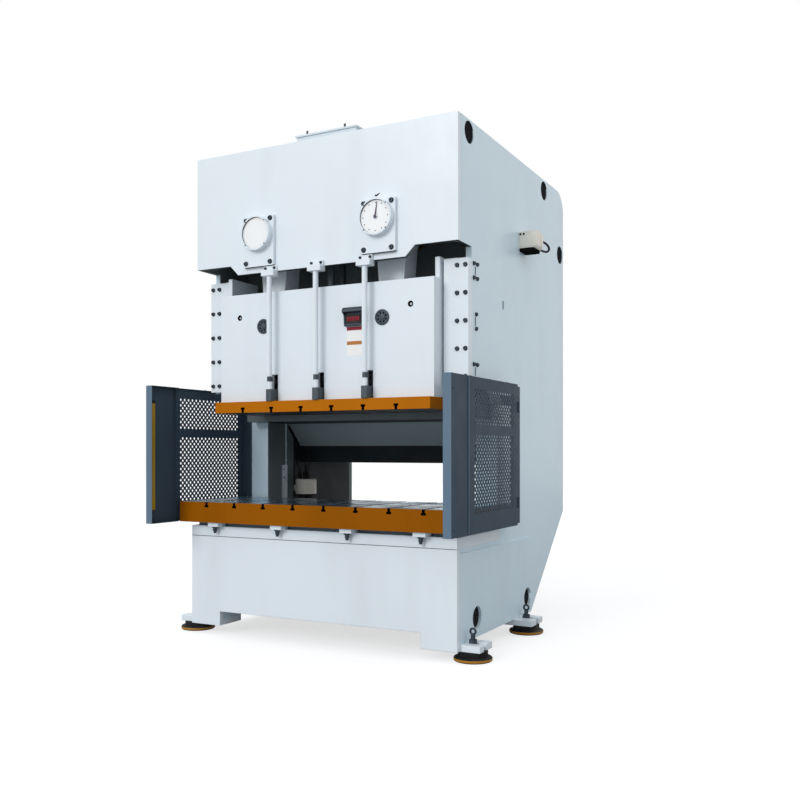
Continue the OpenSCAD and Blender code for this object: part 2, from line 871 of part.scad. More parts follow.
// Inner guideways: the bar beside the guide rib and the jaw behind it
module guide_blocks() {
    color(steel) press() both_sides() translate([0, 0, gib_z0]) linear_extrude(gib_z1 - gib_z0)
        polygon([
            [guide_block_x, head_setback], [side_in, head_setback], [side_in, mid_plate_y],
            [rear_jaw_x, mid_plate_y], [rear_jaw_x, rear_jaw_y], [guide_block_x, rear_jaw_y]
        ]);
}

// Front gib plates, bored for two columns of screws
module gib_plates() {
    color(paint) press() both_sides() difference() {
        block([gib_x, gib_y, gib_z0], [side_x, head_setback, gib_z1]);
        for (x = gib_screw_x, z = gib_screw_z)
            y_cyl(x, z, gib_screw_r * 0.6, gib_y - cut, head_setback + cut);
    }
}

// Screws of the gib plates
module gib_bolts() {
    color(dark_steel) press() both_sides() for (x = gib_screw_x, z = gib_screw_z)
        front_screw(x, gib_y, z, gib_screw_r, gib_head_h, gib_t - cut);
}

// Groups of screws and keys that hold the guide blocks, the dials and the brackets
module frame_bolts() {
    color(dark_steel) press() {
        both_sides() for (group = [0:side_groups - 1]) {
            z = side_group_z - group * side_group_pitch;
            for (y = side_screw_y[group], dz = [-side_screw_dz, side_screw_dz])
                x_cyl(y, z + dz, side_screw_r, side_x, side_x + side_screw_r);
            block([side_x, key_y, z - key_h / 2], [side_x + key_proud, key_y + key_w, z + key_h / 2]);
        }
        for (x = [-point_x, point_x], dx = [-cover_screw_x, cover_screw_x], dz = [-1, 1])
            y_cyl(x + dx, cover_z + dz * cover_screw_z, cover_screw_r,
                  -cover_t - cover_screw_h, -cover_t);
        for (x = knock_places, dx = [-bracket_screw_x, bracket_screw_x])
            y_cyl(x + dx, bracket_z1 - bracket_lip, bracket_screw_r,
                  -bracket_lip - bracket_screw_h, -bracket_lip);
    }
}

// Cover plate with its drum and sunk dial, which closes a crankshaft's front bearing
module shaft_cover(x, bore_r) {
    press() difference() {
        union() {
            back(-cover_t, 0) translate([x, cover_z]) rounded_plate(cover_w, cover_h, cover_corner_r);
            y_cyl(x, crank_z, drum_r, -drum_front, -cover_t);
        }
        y_cyl(x, crank_z, dial_r, -drum_front - cut, dial_y);
        if (bore_r > 0) y_cyl(x, crank_z, bore_r, -drum_front - cut, cut);
    }
}

module shaft_cover_left() {
    color(paint) shaft_cover(-point_x, 0);
}

// Housing of the crank angle dial
module dial_housing() {
    color(paint) shaft_cover(point_x, nose_r + bearing_gap);
}

// Pointer of the crank angle dial, on the end of the right crankshaft
module dial_pointer() {
    color("#3a2038") press() {
        back(dial_y - 2 * pointer_t, dial_y - pointer_t)
            translate([point_x, crank_z]) rotate(-pointer_lean) polygon([
                [-pointer_hub_r * 0.6, -pointer_hub_r], [pointer_hub_r * 0.6, -pointer_hub_r],
                [2, pointer_len], [-2, pointer_len]
            ]);
        y_cyl(point_x, crank_z, pointer_hub_r, dial_y - 3 * pointer_t, dial_y - pointer_t);
    }
}

// Brackets that carry the stop rods below the crown
module stop_brackets() {
    color(paint) press() for (x = knock_places) difference() {
        across(x - bracket_w / 2, x + bracket_w / 2) polygon([
            [-bracket_d, bracket_z0], [bracket_lip, bracket_z0], [bracket_lip, crown_mid_z],
            [0, crown_mid_z], [0, bracket_z1], [-bracket_lip, bracket_z1],
            [-bracket_lip, crown_mid_z + bracket_shelf], [-bracket_d, crown_mid_z + bracket_shelf]
        ]);
        translate([x, -stop_y, bracket_z0 - cut])
            cylinder(r = stop_r, h = crown_mid_z - bracket_z0 + cut);
    }
}

// Fixed rods that stop the knockout bars near the top of the stroke
module stop_rods() {
    color(paint) press() for (x = knock_places) translate([x, -stop_y, stop_end_z])
        cylinder(r = stop_r, h = crown_mid_z - stop_end_z);
}

// Posts beside the side plates that carry the guards' hinge pins
module guard_posts() {
    color(guard_paint) press() both_sides() {
        difference() {
            block([post_x - post_w, post_y, guard_z0 + 15], [post_x, post_y + post_w, guard_z1 - 17]);
            block([post_x - post_w + post_wall, post_y + post_wall, guard_z0],
                  [post_x - post_wall, post_y + post_w - post_wall, guard_z1]);
        }
        for (z = [guard_z0 + 90, guard_z1 - 90 - post_arm_h])
            block([side_x, post_y + 6, z], [post_x - post_w, post_y + post_w - 6, z + post_arm_h]);
        for (z = hinge_z) {
            block([post_x, hinge_y + 6, z + knuckle_h], [hinge_x, hinge_y + hinge_r, z + hinge_len]);
            translate([hinge_x, hinge_y, z + knuckle_h]) cylinder(r = hinge_r, h = hinge_len - knuckle_h);
            translate([hinge_x, hinge_y, z]) cylinder(r = hinge_pin_r, h = hinge_len);
        }
    }
}

// Folded sheet frame of the right guard, with its hinge knuckles
module guard_frame() {
    x0 = guard_x - guard_fold;
    press() {
        difference() {
            union() {
                block([guard_x - guard_strip, -guard_front, guard_z0],
                      [guard_x, channel_rear_y, guard_z1]);
                block([x0, channel_rear_y - cut, guard_z0], [guard_x - sheet_t, guard_rear, guard_z1]);
            }
            block([guard_x - guard_strip - cut, sheet_t - guard_front, guard_z0 + sheet_t],
                  [guard_x - sheet_t, channel_rear_y - sheet_t, guard_z1 - sheet_t]);
            block([x0 - cut, channel_rear_y, guard_z0 + sheet_t],
                  [guard_x, guard_rear - sheet_t, guard_z1 - sheet_t]);
            block([guard_x - guard_strip - cut, channel_rear_y - sheet_t - cut, guard_z0 - cut],
                  [x0, channel_rear_y + cut, guard_z1 + cut]);
        }
        for (z = hinge_z) difference() {
            union() {
                translate([hinge_x, hinge_y, z]) cylinder(r = hinge_r, h = knuckle_h - curve_gap);
                block([hinge_x - 9, guard_rear, z], [hinge_x - 5, hinge_y, z + knuckle_h - curve_gap]);
            }
            translate([hinge_x, hinge_y, z - cut])
                cylinder(r = hinge_pin_r + bearing_gap, h = knuckle_h + 2 * cut);
        }
    }
}

module guard_frame_right() {
    color(guard_paint) guard_frame();
}

module guard_frame_left() {
    color(guard_paint) mirror([1, 0, 0]) guard_frame();
}

// Perforated sheet of the right guard
module guard_mesh() {
    press() across(guard_x - sheet_t, guard_x) difference() {
        translate([channel_rear_y, guard_z0]) square([guard_rear - channel_rear_y, guard_z1 - guard_z0]);
        for (field = perf_fields, row = [0:field[1] - 1], i = [0:perf_cols - 1])
            translate([perf_y0 + (i + (row % 2) / 2) * perf_pitch_y, field[0] + row * perf_pitch_z])
                circle(r = perf_r, $fn = 16);
    }
}

module guard_mesh_right() {
    color(guard_paint) guard_mesh();
}

module guard_mesh_left() {
    color(guard_paint) mirror([1, 0, 0]) guard_mesh();
}

// Light curtain bar inside the front channel of the right guard
module light_curtain() {
    x1 = guard_x - sheet_t;
    y0 = sheet_t - guard_front;
    z0 = guard_z0 + curtain_gap_low;
    z1 = guard_z1 - curtain_gap_high;
    press() {
        block([x1 - curtain_w - 2, y0 + 16, z0], [x1 - 2, y0 + 16 + curtain_d, z1]);
        for (z = [z0 - curtain_cap, z1])
            block([x1 - curtain_w - 4, y0 + 14, z], [x1, y0 + 18 + curtain_d, z + curtain_cap]);
    }
}

module light_curtain_right() {
    color("#b79a1c") light_curtain();
}

module light_curtain_left() {
    color("#b79a1c") mirror([1, 0, 0]) light_curtain();
}

// Air cylinders that balance the slide's weight
module balance_cylinders() {
    z0 = crown_mid_z + balance_rise;
    z1 = z0 + balance_h;
    color(steel) press() for (y = [press_y - balance_y, press_y + balance_y]) difference() {
        union() {
            translate([0, y, z0]) cylinder(r = balance_r, h = balance_h);
            block([-80, y - 80, z1 - balance_cap_t], [80, y + 80, z1]);
            block([-40, y - 40, z1], [40, y + 40, frame_h - top_sheet_t]);
        }
        translate([0, y, z0 - cut]) cylinder(r = balance_rod_r + bearing_gap, h = balance_cap_t);
        translate([0, y, z0 + balance_cap_t - 2 * cut])
            cylinder(r = balance_piston_r + bearing_gap, h = balance_h - 1.5 * balance_cap_t);
    }
}

// Rods and pistons of the balance cylinders
module balance_rods() {
    z0 = slide_z1 - tie_drop + tie_t;
    z1 = crown_mid_z + balance_h;
    color(steel) press() for (y = [press_y - balance_y, press_y + balance_y]) {
        translate([0, y, z0]) cylinder(r = balance_rod_r, h = z1 - z0);
        translate([0, y, z1]) cylinder(r = balance_piston_r, h = balance_cap_t + 10);
    }
}

// Junction box on the right side plate
module junction_box() {
    color("#e4dfd2") press() back(box_y, box_y + box_d) {
        translate([side_x, box_z0 + box_r]) square([box_w, box_h - box_r]);
        translate([side_x, box_z0]) square([box_w - box_r, box_r + cut]);
        translate([side_x + box_w - box_r, box_z0 + box_r]) circle(r = box_r);
    }
}

// Direction of the cable at one point of its route, and the ring of points around it there
function cable_dir(i) =
    let (a = cable_route[max(i - 1, 0)], b = cable_route[min(i + 1, len(cable_route) - 1)])
    i == 0 || i == len(cable_route) - 1 ? [0, i == 0 ? 1 : -1, 0] : (b - a) / norm(b - a);
function cable_ring(i) =
    let (d = cable_dir(i), u = [1, 0, 0] - d * d[0], v = cross(d, u / norm(u)))
    [for (k = [0:cable_sides - 1], a = k * 360 / cable_sides)
        cable_mouth + cable_route[i] + cable_r * (cos(a) * u / norm(u) + sin(a) * v)];

// Held cable that loops out of the junction box and back into it
module junction_cable() {
    n = len(cable_route);
    m = cable_sides;
    color("#2c3138") press() polyhedron(
        points = [for (i = [0:n - 1]) each cable_ring(i)],
        faces = concat(
            [[for (k = [0:m - 1]) k]],
            [for (i = [0:n - 2], k = [0:m - 1])
                [i * m + k, (i + 1) * m + k, (i + 1) * m + (k + 1) % m, i * m + (k + 1) % m]],
            [[for (k = [m - 1:-1:0]) (n - 1) * m + k]]
        ));
}

// Bolted cover on top of the crown, with its two studs
module top_cover() {
    x0 = lid_x - lid_w / 2;
    x1 = lid_x + lid_w / 2;
    y0 = lid_y + lid_lip;
    y1 = lid_y + lid_d - lid_lip;
    color(paint_shade) press() translate([0, 0, frame_h]) {
        block([x0 + lid_lip, y0, 0], [x1 - lid_lip, y1, lid_h - lid_plate_t]);
        block([x0, lid_y, lid_h - lid_plate_t], [x1, lid_y + lid_d, lid_h]);
        block([x0 - lid_tab_left, y0 + lid_lip, 0], [x0 + lid_lip, y1 - lid_lip, lid_tab_h]);
        block([x1 - lid_lip, y0 + lid_lip, 0], [x1 + lid_tab_right, y1 - lid_lip, lid_tab_h]);
        for (x = lid_stud_x) translate([x, lid_stud_y, lid_h]) cylinder(r = lid_stud_r, h = lid_stud_h);
    }
}

// Bronze bushes of the crankshafts
module bearing_bushes() {
    color(bronze) press() for (x = [-point_x, point_x], y = [0, mid_plate_y, rear_plate_y])
        difference() {
            y_cyl(x, crank_z, bush_r, y, y + bush_w);
            y_cyl(x, crank_z, journal_r + bearing_gap, y - cut, y + bush_w + cut);
        }
}

// Crankshaft with its eccentric, at top dead centre
module crankshaft(x, nose) {
    press() {
        y_cyl(x, crank_z, journal_r, shaft_front, rear_plate_y + bush_w);
        y_cyl(x, crank_pin_z, eccentric_r, press_y - eccentric_w / 2, press_y + eccentric_w / 2);
        if (nose) y_cyl(x, crank_z, nose_r, dial_y - pointer_t, shaft_front + cut);
    }
}

module crankshaft_left() {
    color(steel) crankshaft(-point_x, false);
}

module crankshaft_right() {
    color(steel) crankshaft(point_x, true);
}

// Outline of an involute spur gear, with a tooth on the X axis
function involute(rb, r) = let (a = acos(min(1, rb / r))) tan(a) * 180 / PI - a;
function tooth_side(teeth, m, slack, r, side) =
    let (rp = teeth * m / 2, rb = rp * cos(20),
         half = 90 / teeth - slack * 90 / (PI * rp) + involute(rb, rp) - involute(rb, max(r, rb)))
    r * [cos(side * half), sin(side * half)];
function spin(p, a) = [p[0] * cos(a) - p[1] * sin(a), p[0] * sin(a) + p[1] * cos(a)];
function tooth(teeth, m, slack, steps) =
    let (rp = teeth * m / 2, root = rp - 1.1 * m, r0 = max(root, rp * cos(20)), r1 = rp + 0.8 * m,
         foot = 180 / teeth * 0.62)
    concat(
        [root * [cos(foot), -sin(foot)]],
        [for (i = [0:steps]) tooth_side(teeth, m, slack, r0 + (r1 - r0) * i / steps, -1)],
        [for (i = [steps:-1:0]) tooth_side(teeth, m, slack, r0 + (r1 - r0) * i / steps, 1)],
        [root * [cos(foot), sin(foot)]]
    );
function gear_points(teeth, m, slack, steps) =
    [for (k = [0:teeth - 1], p = tooth(teeth, m, slack, steps)) spin(p, k * 360 / teeth)];

// Main gear with a ring of lightening holes
module main_gear(x, phase) {
    press() translate([x, 0, crank_z]) difference() {
        union() {
            back(gear_y, gear_y + gear_w) rotate(phase)
                polygon(gear_points(gear_teeth, gear_module, backlash, 2));
            y_cyl(0, 0, gear_hub_r, gear_y - gear_hub_proud, gear_y + gear_w + gear_hub_proud);
        }
        for (y = [gear_y - cut, gear_y + gear_w - gear_recess]) difference() {
            y_cyl(0, 0, gear_pitch_r - gear_rim, y, y + gear_recess + cut);
            y_cyl(0, 0, gear_hub_r, y - cut, y + gear_recess + 3 * cut);
        }
        for (a = [0:60:300])
            y_cyl(gear_hole_x * cos(a), gear_hole_x * sin(a), gear_hole_r,
                  gear_y - cut, gear_y + gear_w + cut);
        y_cyl(0, 0, journal_r, gear_y - gear_hub_proud - cut, gear_y + gear_w + gear_hub_proud + cut);
    }
}

module main_gear_right() {
    color(steel) main_gear(point_x, 0);
}

module main_gear_left() {
    color(steel) main_gear(-point_x, 180 / gear_teeth);
}

// Connecting rod with the ring around its eccentric and the ball at its foot
module connecting_rod(x) {
    y0 = press_y - rod_w / 2;
    press() difference() {
        union() {
            y_cyl(x, crank_pin_z, ring_r, y0, y0 + rod_w);
            back(y0, y0 + rod_w) translate([x, 0]) polygon([
                [-rod_neck_x[0], crank_pin_z - rod_neck_z[0]],
                [-rod_neck_x[1], crank_pin_z - rod_neck_z[1]],
                [-rod_neck_x[2], ball_z + ball_neck_h],
                [rod_neck_x[2], ball_z + ball_neck_h],
                [rod_neck_x[1], crank_pin_z - rod_neck_z[1]],
                [rod_neck_x[0], crank_pin_z - rod_neck_z[0]]
            ]);
            translate([x, press_y, ball_z]) cylinder(r = ball_neck_r, h = ball_neck_h + 5);
            translate([x, press_y, ball_z]) sphere(r = ball_r);
        }
        y_cyl(x, crank_pin_z, eccentric_r + bearing_gap, y0 - cut, y0 + rod_w + cut);
    }
}

module connecting_rod_left() {
    color(paint) connecting_rod(-point_x);
}

module connecting_rod_right() {
    color(paint) connecting_rod(point_x);
}

// Shaft with its pinion, the clutch disc and the brake drum
module pinion_shaft() {
    clutch_y = flywheel_y + flywheel_w + clutch_gap;
    brake_y = clutch_y + clutch_t;
    color(steel) press() {
        y_cyl(pinion_x, pinion_z, pinion_r, mid_plate_y, brake_y + brake_w + 40);
        translate([pinion_x, 0, pinion_z]) back(gear_y + 5, gear_y + gear_w - 5)
            rotate(pinion_angle + 180 + 180 / pinion_teeth)
                polygon(gear_points(pinion_teeth, gear_module, backlash, 4));
        y_cyl(pinion_x, pinion_z, clutch_r, clutch_y, brake_y);
        y_cyl(pinion_x, pinion_z, brake_r, brake_y, brake_y + brake_w);
    }
}

// Flywheel with hollow sides and round holes, running free on the pinion shaft
module flywheel() {
    y1 = flywheel_y + flywheel_w;
    color(dark_steel) press() translate([pinion_x, 0, pinion_z]) difference() {
        union() {
            y_cyl(0, 0, flywheel_r, flywheel_y, y1);
            y_cyl(0, 0, flywheel_hub_r, flywheel_y - 20, y1 + 10);
        }
        for (y = [flywheel_y - cut, y1 - flywheel_recess]) difference() {
            y_cyl(0, 0, flywheel_r - flywheel_rim, y, y + flywheel_recess + cut);
            y_cyl(0, 0, flywheel_hub_r, y - cut, y + flywheel_recess + 3 * cut);
        }
        for (a = [30:60:330])
            y_cyl(flywheel_hole_x * cos(a), flywheel_hole_x * sin(a), flywheel_hole_r,
                  flywheel_y - cut, y1 + cut);
        y_cyl(0, 0, pinion_r + bearing_gap, flywheel_y - 20 - cut, y1 + 10 + cut);
    }
}

// Motor, flanged to the front of the drive support plate
module motor() {
    color("#4e5f6e") press() {
        y_cyl(motor_x, motor_z, motor_r, support_y - motor_len, support_y - motor_flange_t);
        y_cyl(motor_x, motor_z, motor_r + motor_flange, support_y - motor_flange_t, support_y);
        y_cyl(motor_x, motor_z, motor_r + 8, support_y - motor_len - fan_cover_w, support_y - motor_len);
        y_cyl(motor_x, motor_z, motor_shaft_r, support_y - cut, belt_y + belt_w);
        translate([motor_x - terminal_box[0] / 2, terminal_box_y, motor_z + motor_r - 20])
            cube(terminal_box);
    }
}

// Pulley on the motor's shaft
module motor_pulley() {
    color(dark_steel) press() difference() {
        union() {
            y_cyl(motor_x, motor_z, pulley_r,
                  belt_y - pulley_flange_t, belt_y + belt_w + pulley_flange_t);
            for (y = [belt_y - pulley_flange_t, belt_y + belt_w + guide_gap])
                y_cyl(motor_x, motor_z, pulley_r + pulley_flange, y, y + pulley_flange_t - guide_gap);
        }
        y_cyl(motor_x, motor_z, motor_shaft_r + bearing_gap,
              belt_y - pulley_flange_t - cut, belt_y + belt_w + pulley_flange_t + cut);
    }
}

// Direction and length of the belt's straight runs
belt_dx = pinion_x - motor_x;
belt_dz = pinion_z - motor_z;
belt_len = norm([belt_dx, belt_dz]);
belt_lean = atan2(belt_dz, belt_dx);
belt_wrap = acos((flywheel_r - pulley_r) / belt_len);

// Outline around pulley and flywheel at a distance outside their rims
module belt_outline(out) {
    translate([motor_x, motor_z]) rotate(belt_lean) {
        circle(r = pulley_r + out);
        translate([belt_len, 0]) circle(r = flywheel_r + out);
        polygon([
            for (s = [1, -1]) each [
                (pulley_r + out) * [cos(180 - belt_wrap), s * sin(180 - belt_wrap)],
                [belt_len, 0] + (flywheel_r + out) * [cos(180 - belt_wrap), s * sin(180 - belt_wrap)]
            ]
        ], [[0, 1, 3, 2]]);
    }
}

// Joined V-belt between the pulley and the flywheel
module v_belts() {
    color("#26282b") press() back(belt_y, belt_y + belt_w) difference() {
        belt_outline(curve_gap + belt_t);
        belt_outline(curve_gap);
    }
}

// Lubrication unit with its pump and outlets, and the oil distributor, on the left inner wall
module lubricator() {
    top_z = oil_z + oil_h;
    color("#d8d3bd") press() {
        translate([oil_x, oil_y, oil_z]) rotate_extrude() polygon([
            [0, 0], [oil_r - oil_bowl_in, 0], [oil_r - oil_lip, oil_bowl_h - oil_lip / 2],
            [oil_r, oil_bowl_h], [oil_r, oil_h - oil_edge], [oil_r - oil_edge, oil_h], [0, oil_h]
        ]);
        block([-side_in, oil_y - oil_arm, oil_z + oil_arm_z],
              [oil_x - oil_arm, oil_y + oil_arm, oil_z + oil_arm_z + oil_arm]);
        translate([oil_x, oil_y, top_z - cut]) cylinder(r = oil_pump_r, h = oil_pump_h);
        translate([oil_x, oil_y, top_z + oil_pump_h - 2 * cut])
            cylinder(r = oil_pump_r / 2, h = oil_pump_h);
        for (a = [190:34:326])
            translate([oil_x + oil_outlet_ring * cos(a), oil_y + oil_outlet_ring * sin(a), top_z - cut])
                cylinder(r = oil_outlet_r, h = oil_outlet_h);
        block([-side_in, strip_y, strip_z0], [strip_t - side_in, strip_y + strip_w, strip_z1]);
        for (drop = strip_dot_drops)
            x_cyl(strip_y + 2 * strip_dot_r, strip_z1 - drop, strip_dot_r,
                  strip_t - side_in - cut, strip_t - side_in + strip_dot_h);
    }
}

// Welded body of the slide
module slide_body() {
    color(paint) press() {
        difference() {
            union() {
                block([-slide_x, slide_front_y, slide_z0],
                      [slide_x, slide_front_y + slide_wall, slide_z1]);
                block([-slide_x, slide_back_y - slide_wall, slide_z0],
                      [slide_x, slide_back_y, slide_z1 - rear_drop]);
                both_sides() {
                    block([slide_x - slide_wall, slide_front_y + slide_wall, slide_z0],
                          [slide_x, slide_back_y, slide_z1]);
                    block([slide_x - slide_wall, ear_front_y, slide_z1],
                          [slide_x, slide_back_y - ear_back, ear_z1]);
                    block([slide_x, guide_rib_y0, slide_z0 + web_w], [guide_rib_x, guide_rib_y1, ear_z1]);
                    for (side = [-1, 1], x = [point_x + side * rod_room_x - web_w / 2])
                        block([x, slide_front_y + slide_wall, deck_z],
                              [x + web_w, slide_back_y - slide_wall, slide_z1 - rear_drop - web_drop]);
                    for (x = lower_web_x)
                        block([x, slide_front_y, slide_z0], [x + web_w, slide_back_y, deck_z]);
                }
                block([-slide_x, slide_front_y, slide_z0], [slide_x, slide_back_y, slide_z0 + floor_t]);
                block([-slide_x, slide_front_y, deck_z], [slide_x, slide_back_y, deck_z + deck_t]);
                block([-point_x + rod_room_x, press_y - tie_reach, slide_z1 - tie_drop],
                      [point_x - rod_room_x, press_y + tie_reach, slide_z1 - tie_drop + tie_t]);
                for (x = [-point_x, point_x])
                    translate([x, press_y, deck_z]) cylinder(r = seat_tube_r, h = seat_top_z - deck_z);
            }
            for (x = [-point_x, point_x])
                translate([x, press_y, seat_top_z - seat_h - cut])
                    cylinder(r = seat_r + bearing_gap, h = seat_h + 2 * cut);
            for (x = knock_places)
                block([x - knock_slot_w / 2, slide_front_y - cut, slide_z0 - cut],
                      [x + knock_slot_w / 2, slide_back_y + cut, knock_slot_z]);
            for (x = [-blind_hole_x, blind_hole_x])
                y_cyl(x, blind_hole_z, blind_hole_r, slide_front_y - cut, slide_front_y + blind_hole_d);
        }
    }
}

// Slide plate with T-slots in its lower face
module slide_plate() {
    y0 = slide_front_y - slide_plate_front;
    color(orange) press() back(y0, y0 + slide_plate_d) difference() {
        translate([-slide_plate_x, slide_bottom_z]) square([2 * slide_plate_x, slide_plate_t]);
        for (i = [-2.5:1:2.5]) translate([i * slot_pitch, slide_bottom_z]) mirror([0, 1]) t_slot();
    }
}

// Round vents in the slide's front
module slide_vents() {
    color(dark_steel) press() for (x = [-point_x, point_x]) {
        y_cyl(x, vent_z, vent_r, slide_front_y - vent_t, slide_front_y);
        y_cyl(x, vent_z, vent_hub_r, slide_front_y - vent_t - vent_hub_t, slide_front_y - vent_t);
    }
}

// Dark hood over the die height counter
module counter_hood() {
    color(dark_steel) press() translate([0, slide_front_y, hood_z0]) difference() {
        across(hood_x0, hood_x1) polygon([
            [0, 0], [-26, 0], [-34, 90], [-62, 112], [-62, 132], [-46, 150], [0, 151]
        ]);
        across(hood_x0 + hood_wall, hood_x1 - hood_wall) polygon([
            [-20, 10], [-40, 10], [-70, 105], [-20, 118]
        ]);
    }
}

// Ball seats that the slide hangs from, inside its height adjustment
module ball_seats() {
    color(bronze) press() for (x = [-point_x, point_x]) translate([x, press_y, seat_top_z - seat_h])
        difference() {
            cylinder(r = seat_r, h = seat_h);
            translate([0, 0, seat_h + 40]) sphere(r = ball_r);
        }
}

// Knockout bar across the slide, with the stop screw at its front
module knockout_bar(x) {
    screw_z = knock_z + knock_h;
    color(steel) press() {
        block([x - knock_w / 2, knock_front_y, knock_z], [x + knock_w / 2, knock_back_y, screw_z]);
        translate([x, knock_screw_y, screw_z]) cylinder(r = knock_neck_r, h = knock_neck_h);
        translate([x, knock_screw_y, screw_z + knock_neck_h])
            cylinder(r = knock_head_r, h = knock_head_h, $fn = 6);
    }
}

module knockout_bar_left() {
    knockout_bar(-knock_x);
}

module knockout_bar_middle() {
    knockout_bar(0);
}

module knockout_bar_right() {
    knockout_bar(knock_x);
}

side_frame_left();
side_frame_right();
crown_front_plate();
crown_mid_plate();
crown_rear_plate();
drive_support_plate();
crown_top_plate();
throat_web();
bed_front_plate();
bed_table_plate();
bed_cross_plates();
foot_plates();
levelling_pads();
levelling_studs();
lift_hole_plugs();
bolster();
bolster_clamps();
clamp_bolts();
guide_blocks();
gib_plates();
gib_bolts();
frame_bolts();
shaft_cover_left();
dial_housing();
stop_brackets();
stop_rods();
guard_posts();
balance_cylinders();
junction_box();
junction_cable();
top_cover();
bearing_bushes();
motor();
v_belts();
lubricator();
slide_body();
slide_plate();
slide_vents();
counter_hood();
ball_seats();
balance_rods();
knockout_bar_left();
knockout_bar_middle();
knockout_bar_right();
crankshaft_left();
crankshaft_right();
main_gear_left();
main_gear_right();
connecting_rod_left();
connecting_rod_right();
dial_pointer();
pinion_shaft();
flywheel();
motor_pulley();
guard_frame_left();
guard_frame_right();
guard_mesh_left();
guard_mesh_right();
light_curtain_left();
light_curtain_right();
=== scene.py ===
"""Looks for a mechanical stamping press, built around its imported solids.

Lengths are in metres. X runs to the right, Y from the front to the back and
Z up from the floor, and the origin lies on the floor under the press's middle.
"""

import logging
import math
from collections.abc import Callable, Iterable, Sequence
from dataclasses import dataclass
from enum import Enum

import bmesh
import bpy
from mathutils import Euler, Matrix, Vector

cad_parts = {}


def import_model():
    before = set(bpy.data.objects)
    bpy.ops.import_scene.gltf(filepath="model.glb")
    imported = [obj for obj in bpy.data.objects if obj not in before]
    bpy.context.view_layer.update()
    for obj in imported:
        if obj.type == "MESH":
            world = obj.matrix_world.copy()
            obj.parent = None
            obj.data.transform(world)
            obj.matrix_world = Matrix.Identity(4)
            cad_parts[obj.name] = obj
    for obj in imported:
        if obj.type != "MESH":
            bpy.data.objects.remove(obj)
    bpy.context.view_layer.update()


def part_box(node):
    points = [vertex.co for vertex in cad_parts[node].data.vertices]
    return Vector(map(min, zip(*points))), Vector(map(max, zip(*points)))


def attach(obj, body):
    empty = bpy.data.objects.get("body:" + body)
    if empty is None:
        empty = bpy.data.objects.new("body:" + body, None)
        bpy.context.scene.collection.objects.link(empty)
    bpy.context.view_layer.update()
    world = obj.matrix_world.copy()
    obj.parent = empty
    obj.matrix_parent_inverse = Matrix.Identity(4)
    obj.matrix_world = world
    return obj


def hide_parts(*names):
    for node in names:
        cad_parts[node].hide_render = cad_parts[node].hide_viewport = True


log = logging.getLogger("stamping_press")

SIDES = ("left", "right")
# A face looks along an axis, or leans towards it, above these shares of its direction
FLAT = 0.9
LEANING = 0.3
# Edges above this angle in degrees stay sharp
SHARP_ANGLE = 35.0
# Points of a solid that lie nearer than this are one
JOIN_GAP = 1e-5
# Thin layer on a face, for what lies on it or ends at it
SKIN = 0.001
PURE_WHITE = (1.0, 1.0, 1.0, 1.0)
AT_ORIGIN = Matrix.Identity(4)
Colour = tuple[float, float, float, float]
Outline = Sequence[tuple[float, float]]
Ring = list[bmesh.types.BMVert]
# Picks a material index from a face's direction and its middle
FaceRule = Callable[[Vector, Vector], int]


def linear(code: str, gain: float = 1.0) -> Colour:
    """Turns a screen colour into the shader's linear colour.

    Args:
        code: The colour as six hexadecimal digits after a hash sign.
        gain: Factor on the linear values, for a lighter or darker tone.

    Returns:
        Red, green, blue and alpha.
    """
    parts = []
    for start in (1, 3, 5):
        value = int(code[start:start + 2], 16) / 255
        value = value / 12.92 if value <= 0.04045 else ((value + 0.055) / 1.055) ** 2.4
        parts.append(min(1.0, value * gain))
    return (parts[0], parts[1], parts[2], 1.0)


class Facing(Enum):
    """Turns that carry a shape drawn upwards onto a face of the press."""

    FRONT = (math.radians(90), 0.0, 0.0)
    RIGHT = (0.0, math.radians(90), 0.0)
    LEFT = (0.0, math.radians(-90), 0.0)
    UP = (0.0, 0.0, 0.0)
    BACK = (math.radians(-90), 0.0, 0.0)

    def at(self, point: Vector) -> Matrix:
        """Gives the place of a shape that stands on a point and looks this way."""
        return Matrix.LocRotScale(point, Euler(self.value), None)


class Grain(Enum):
    """Directions in which machining has drawn its lines."""

    ACROSS = (2.0, 260.0, 260.0)
    DEEP = (260.0, 2.0, 260.0)
    UPRIGHT = (260.0, 260.0, 2.0)
    NONE = (60.0, 60.0, 60.0)


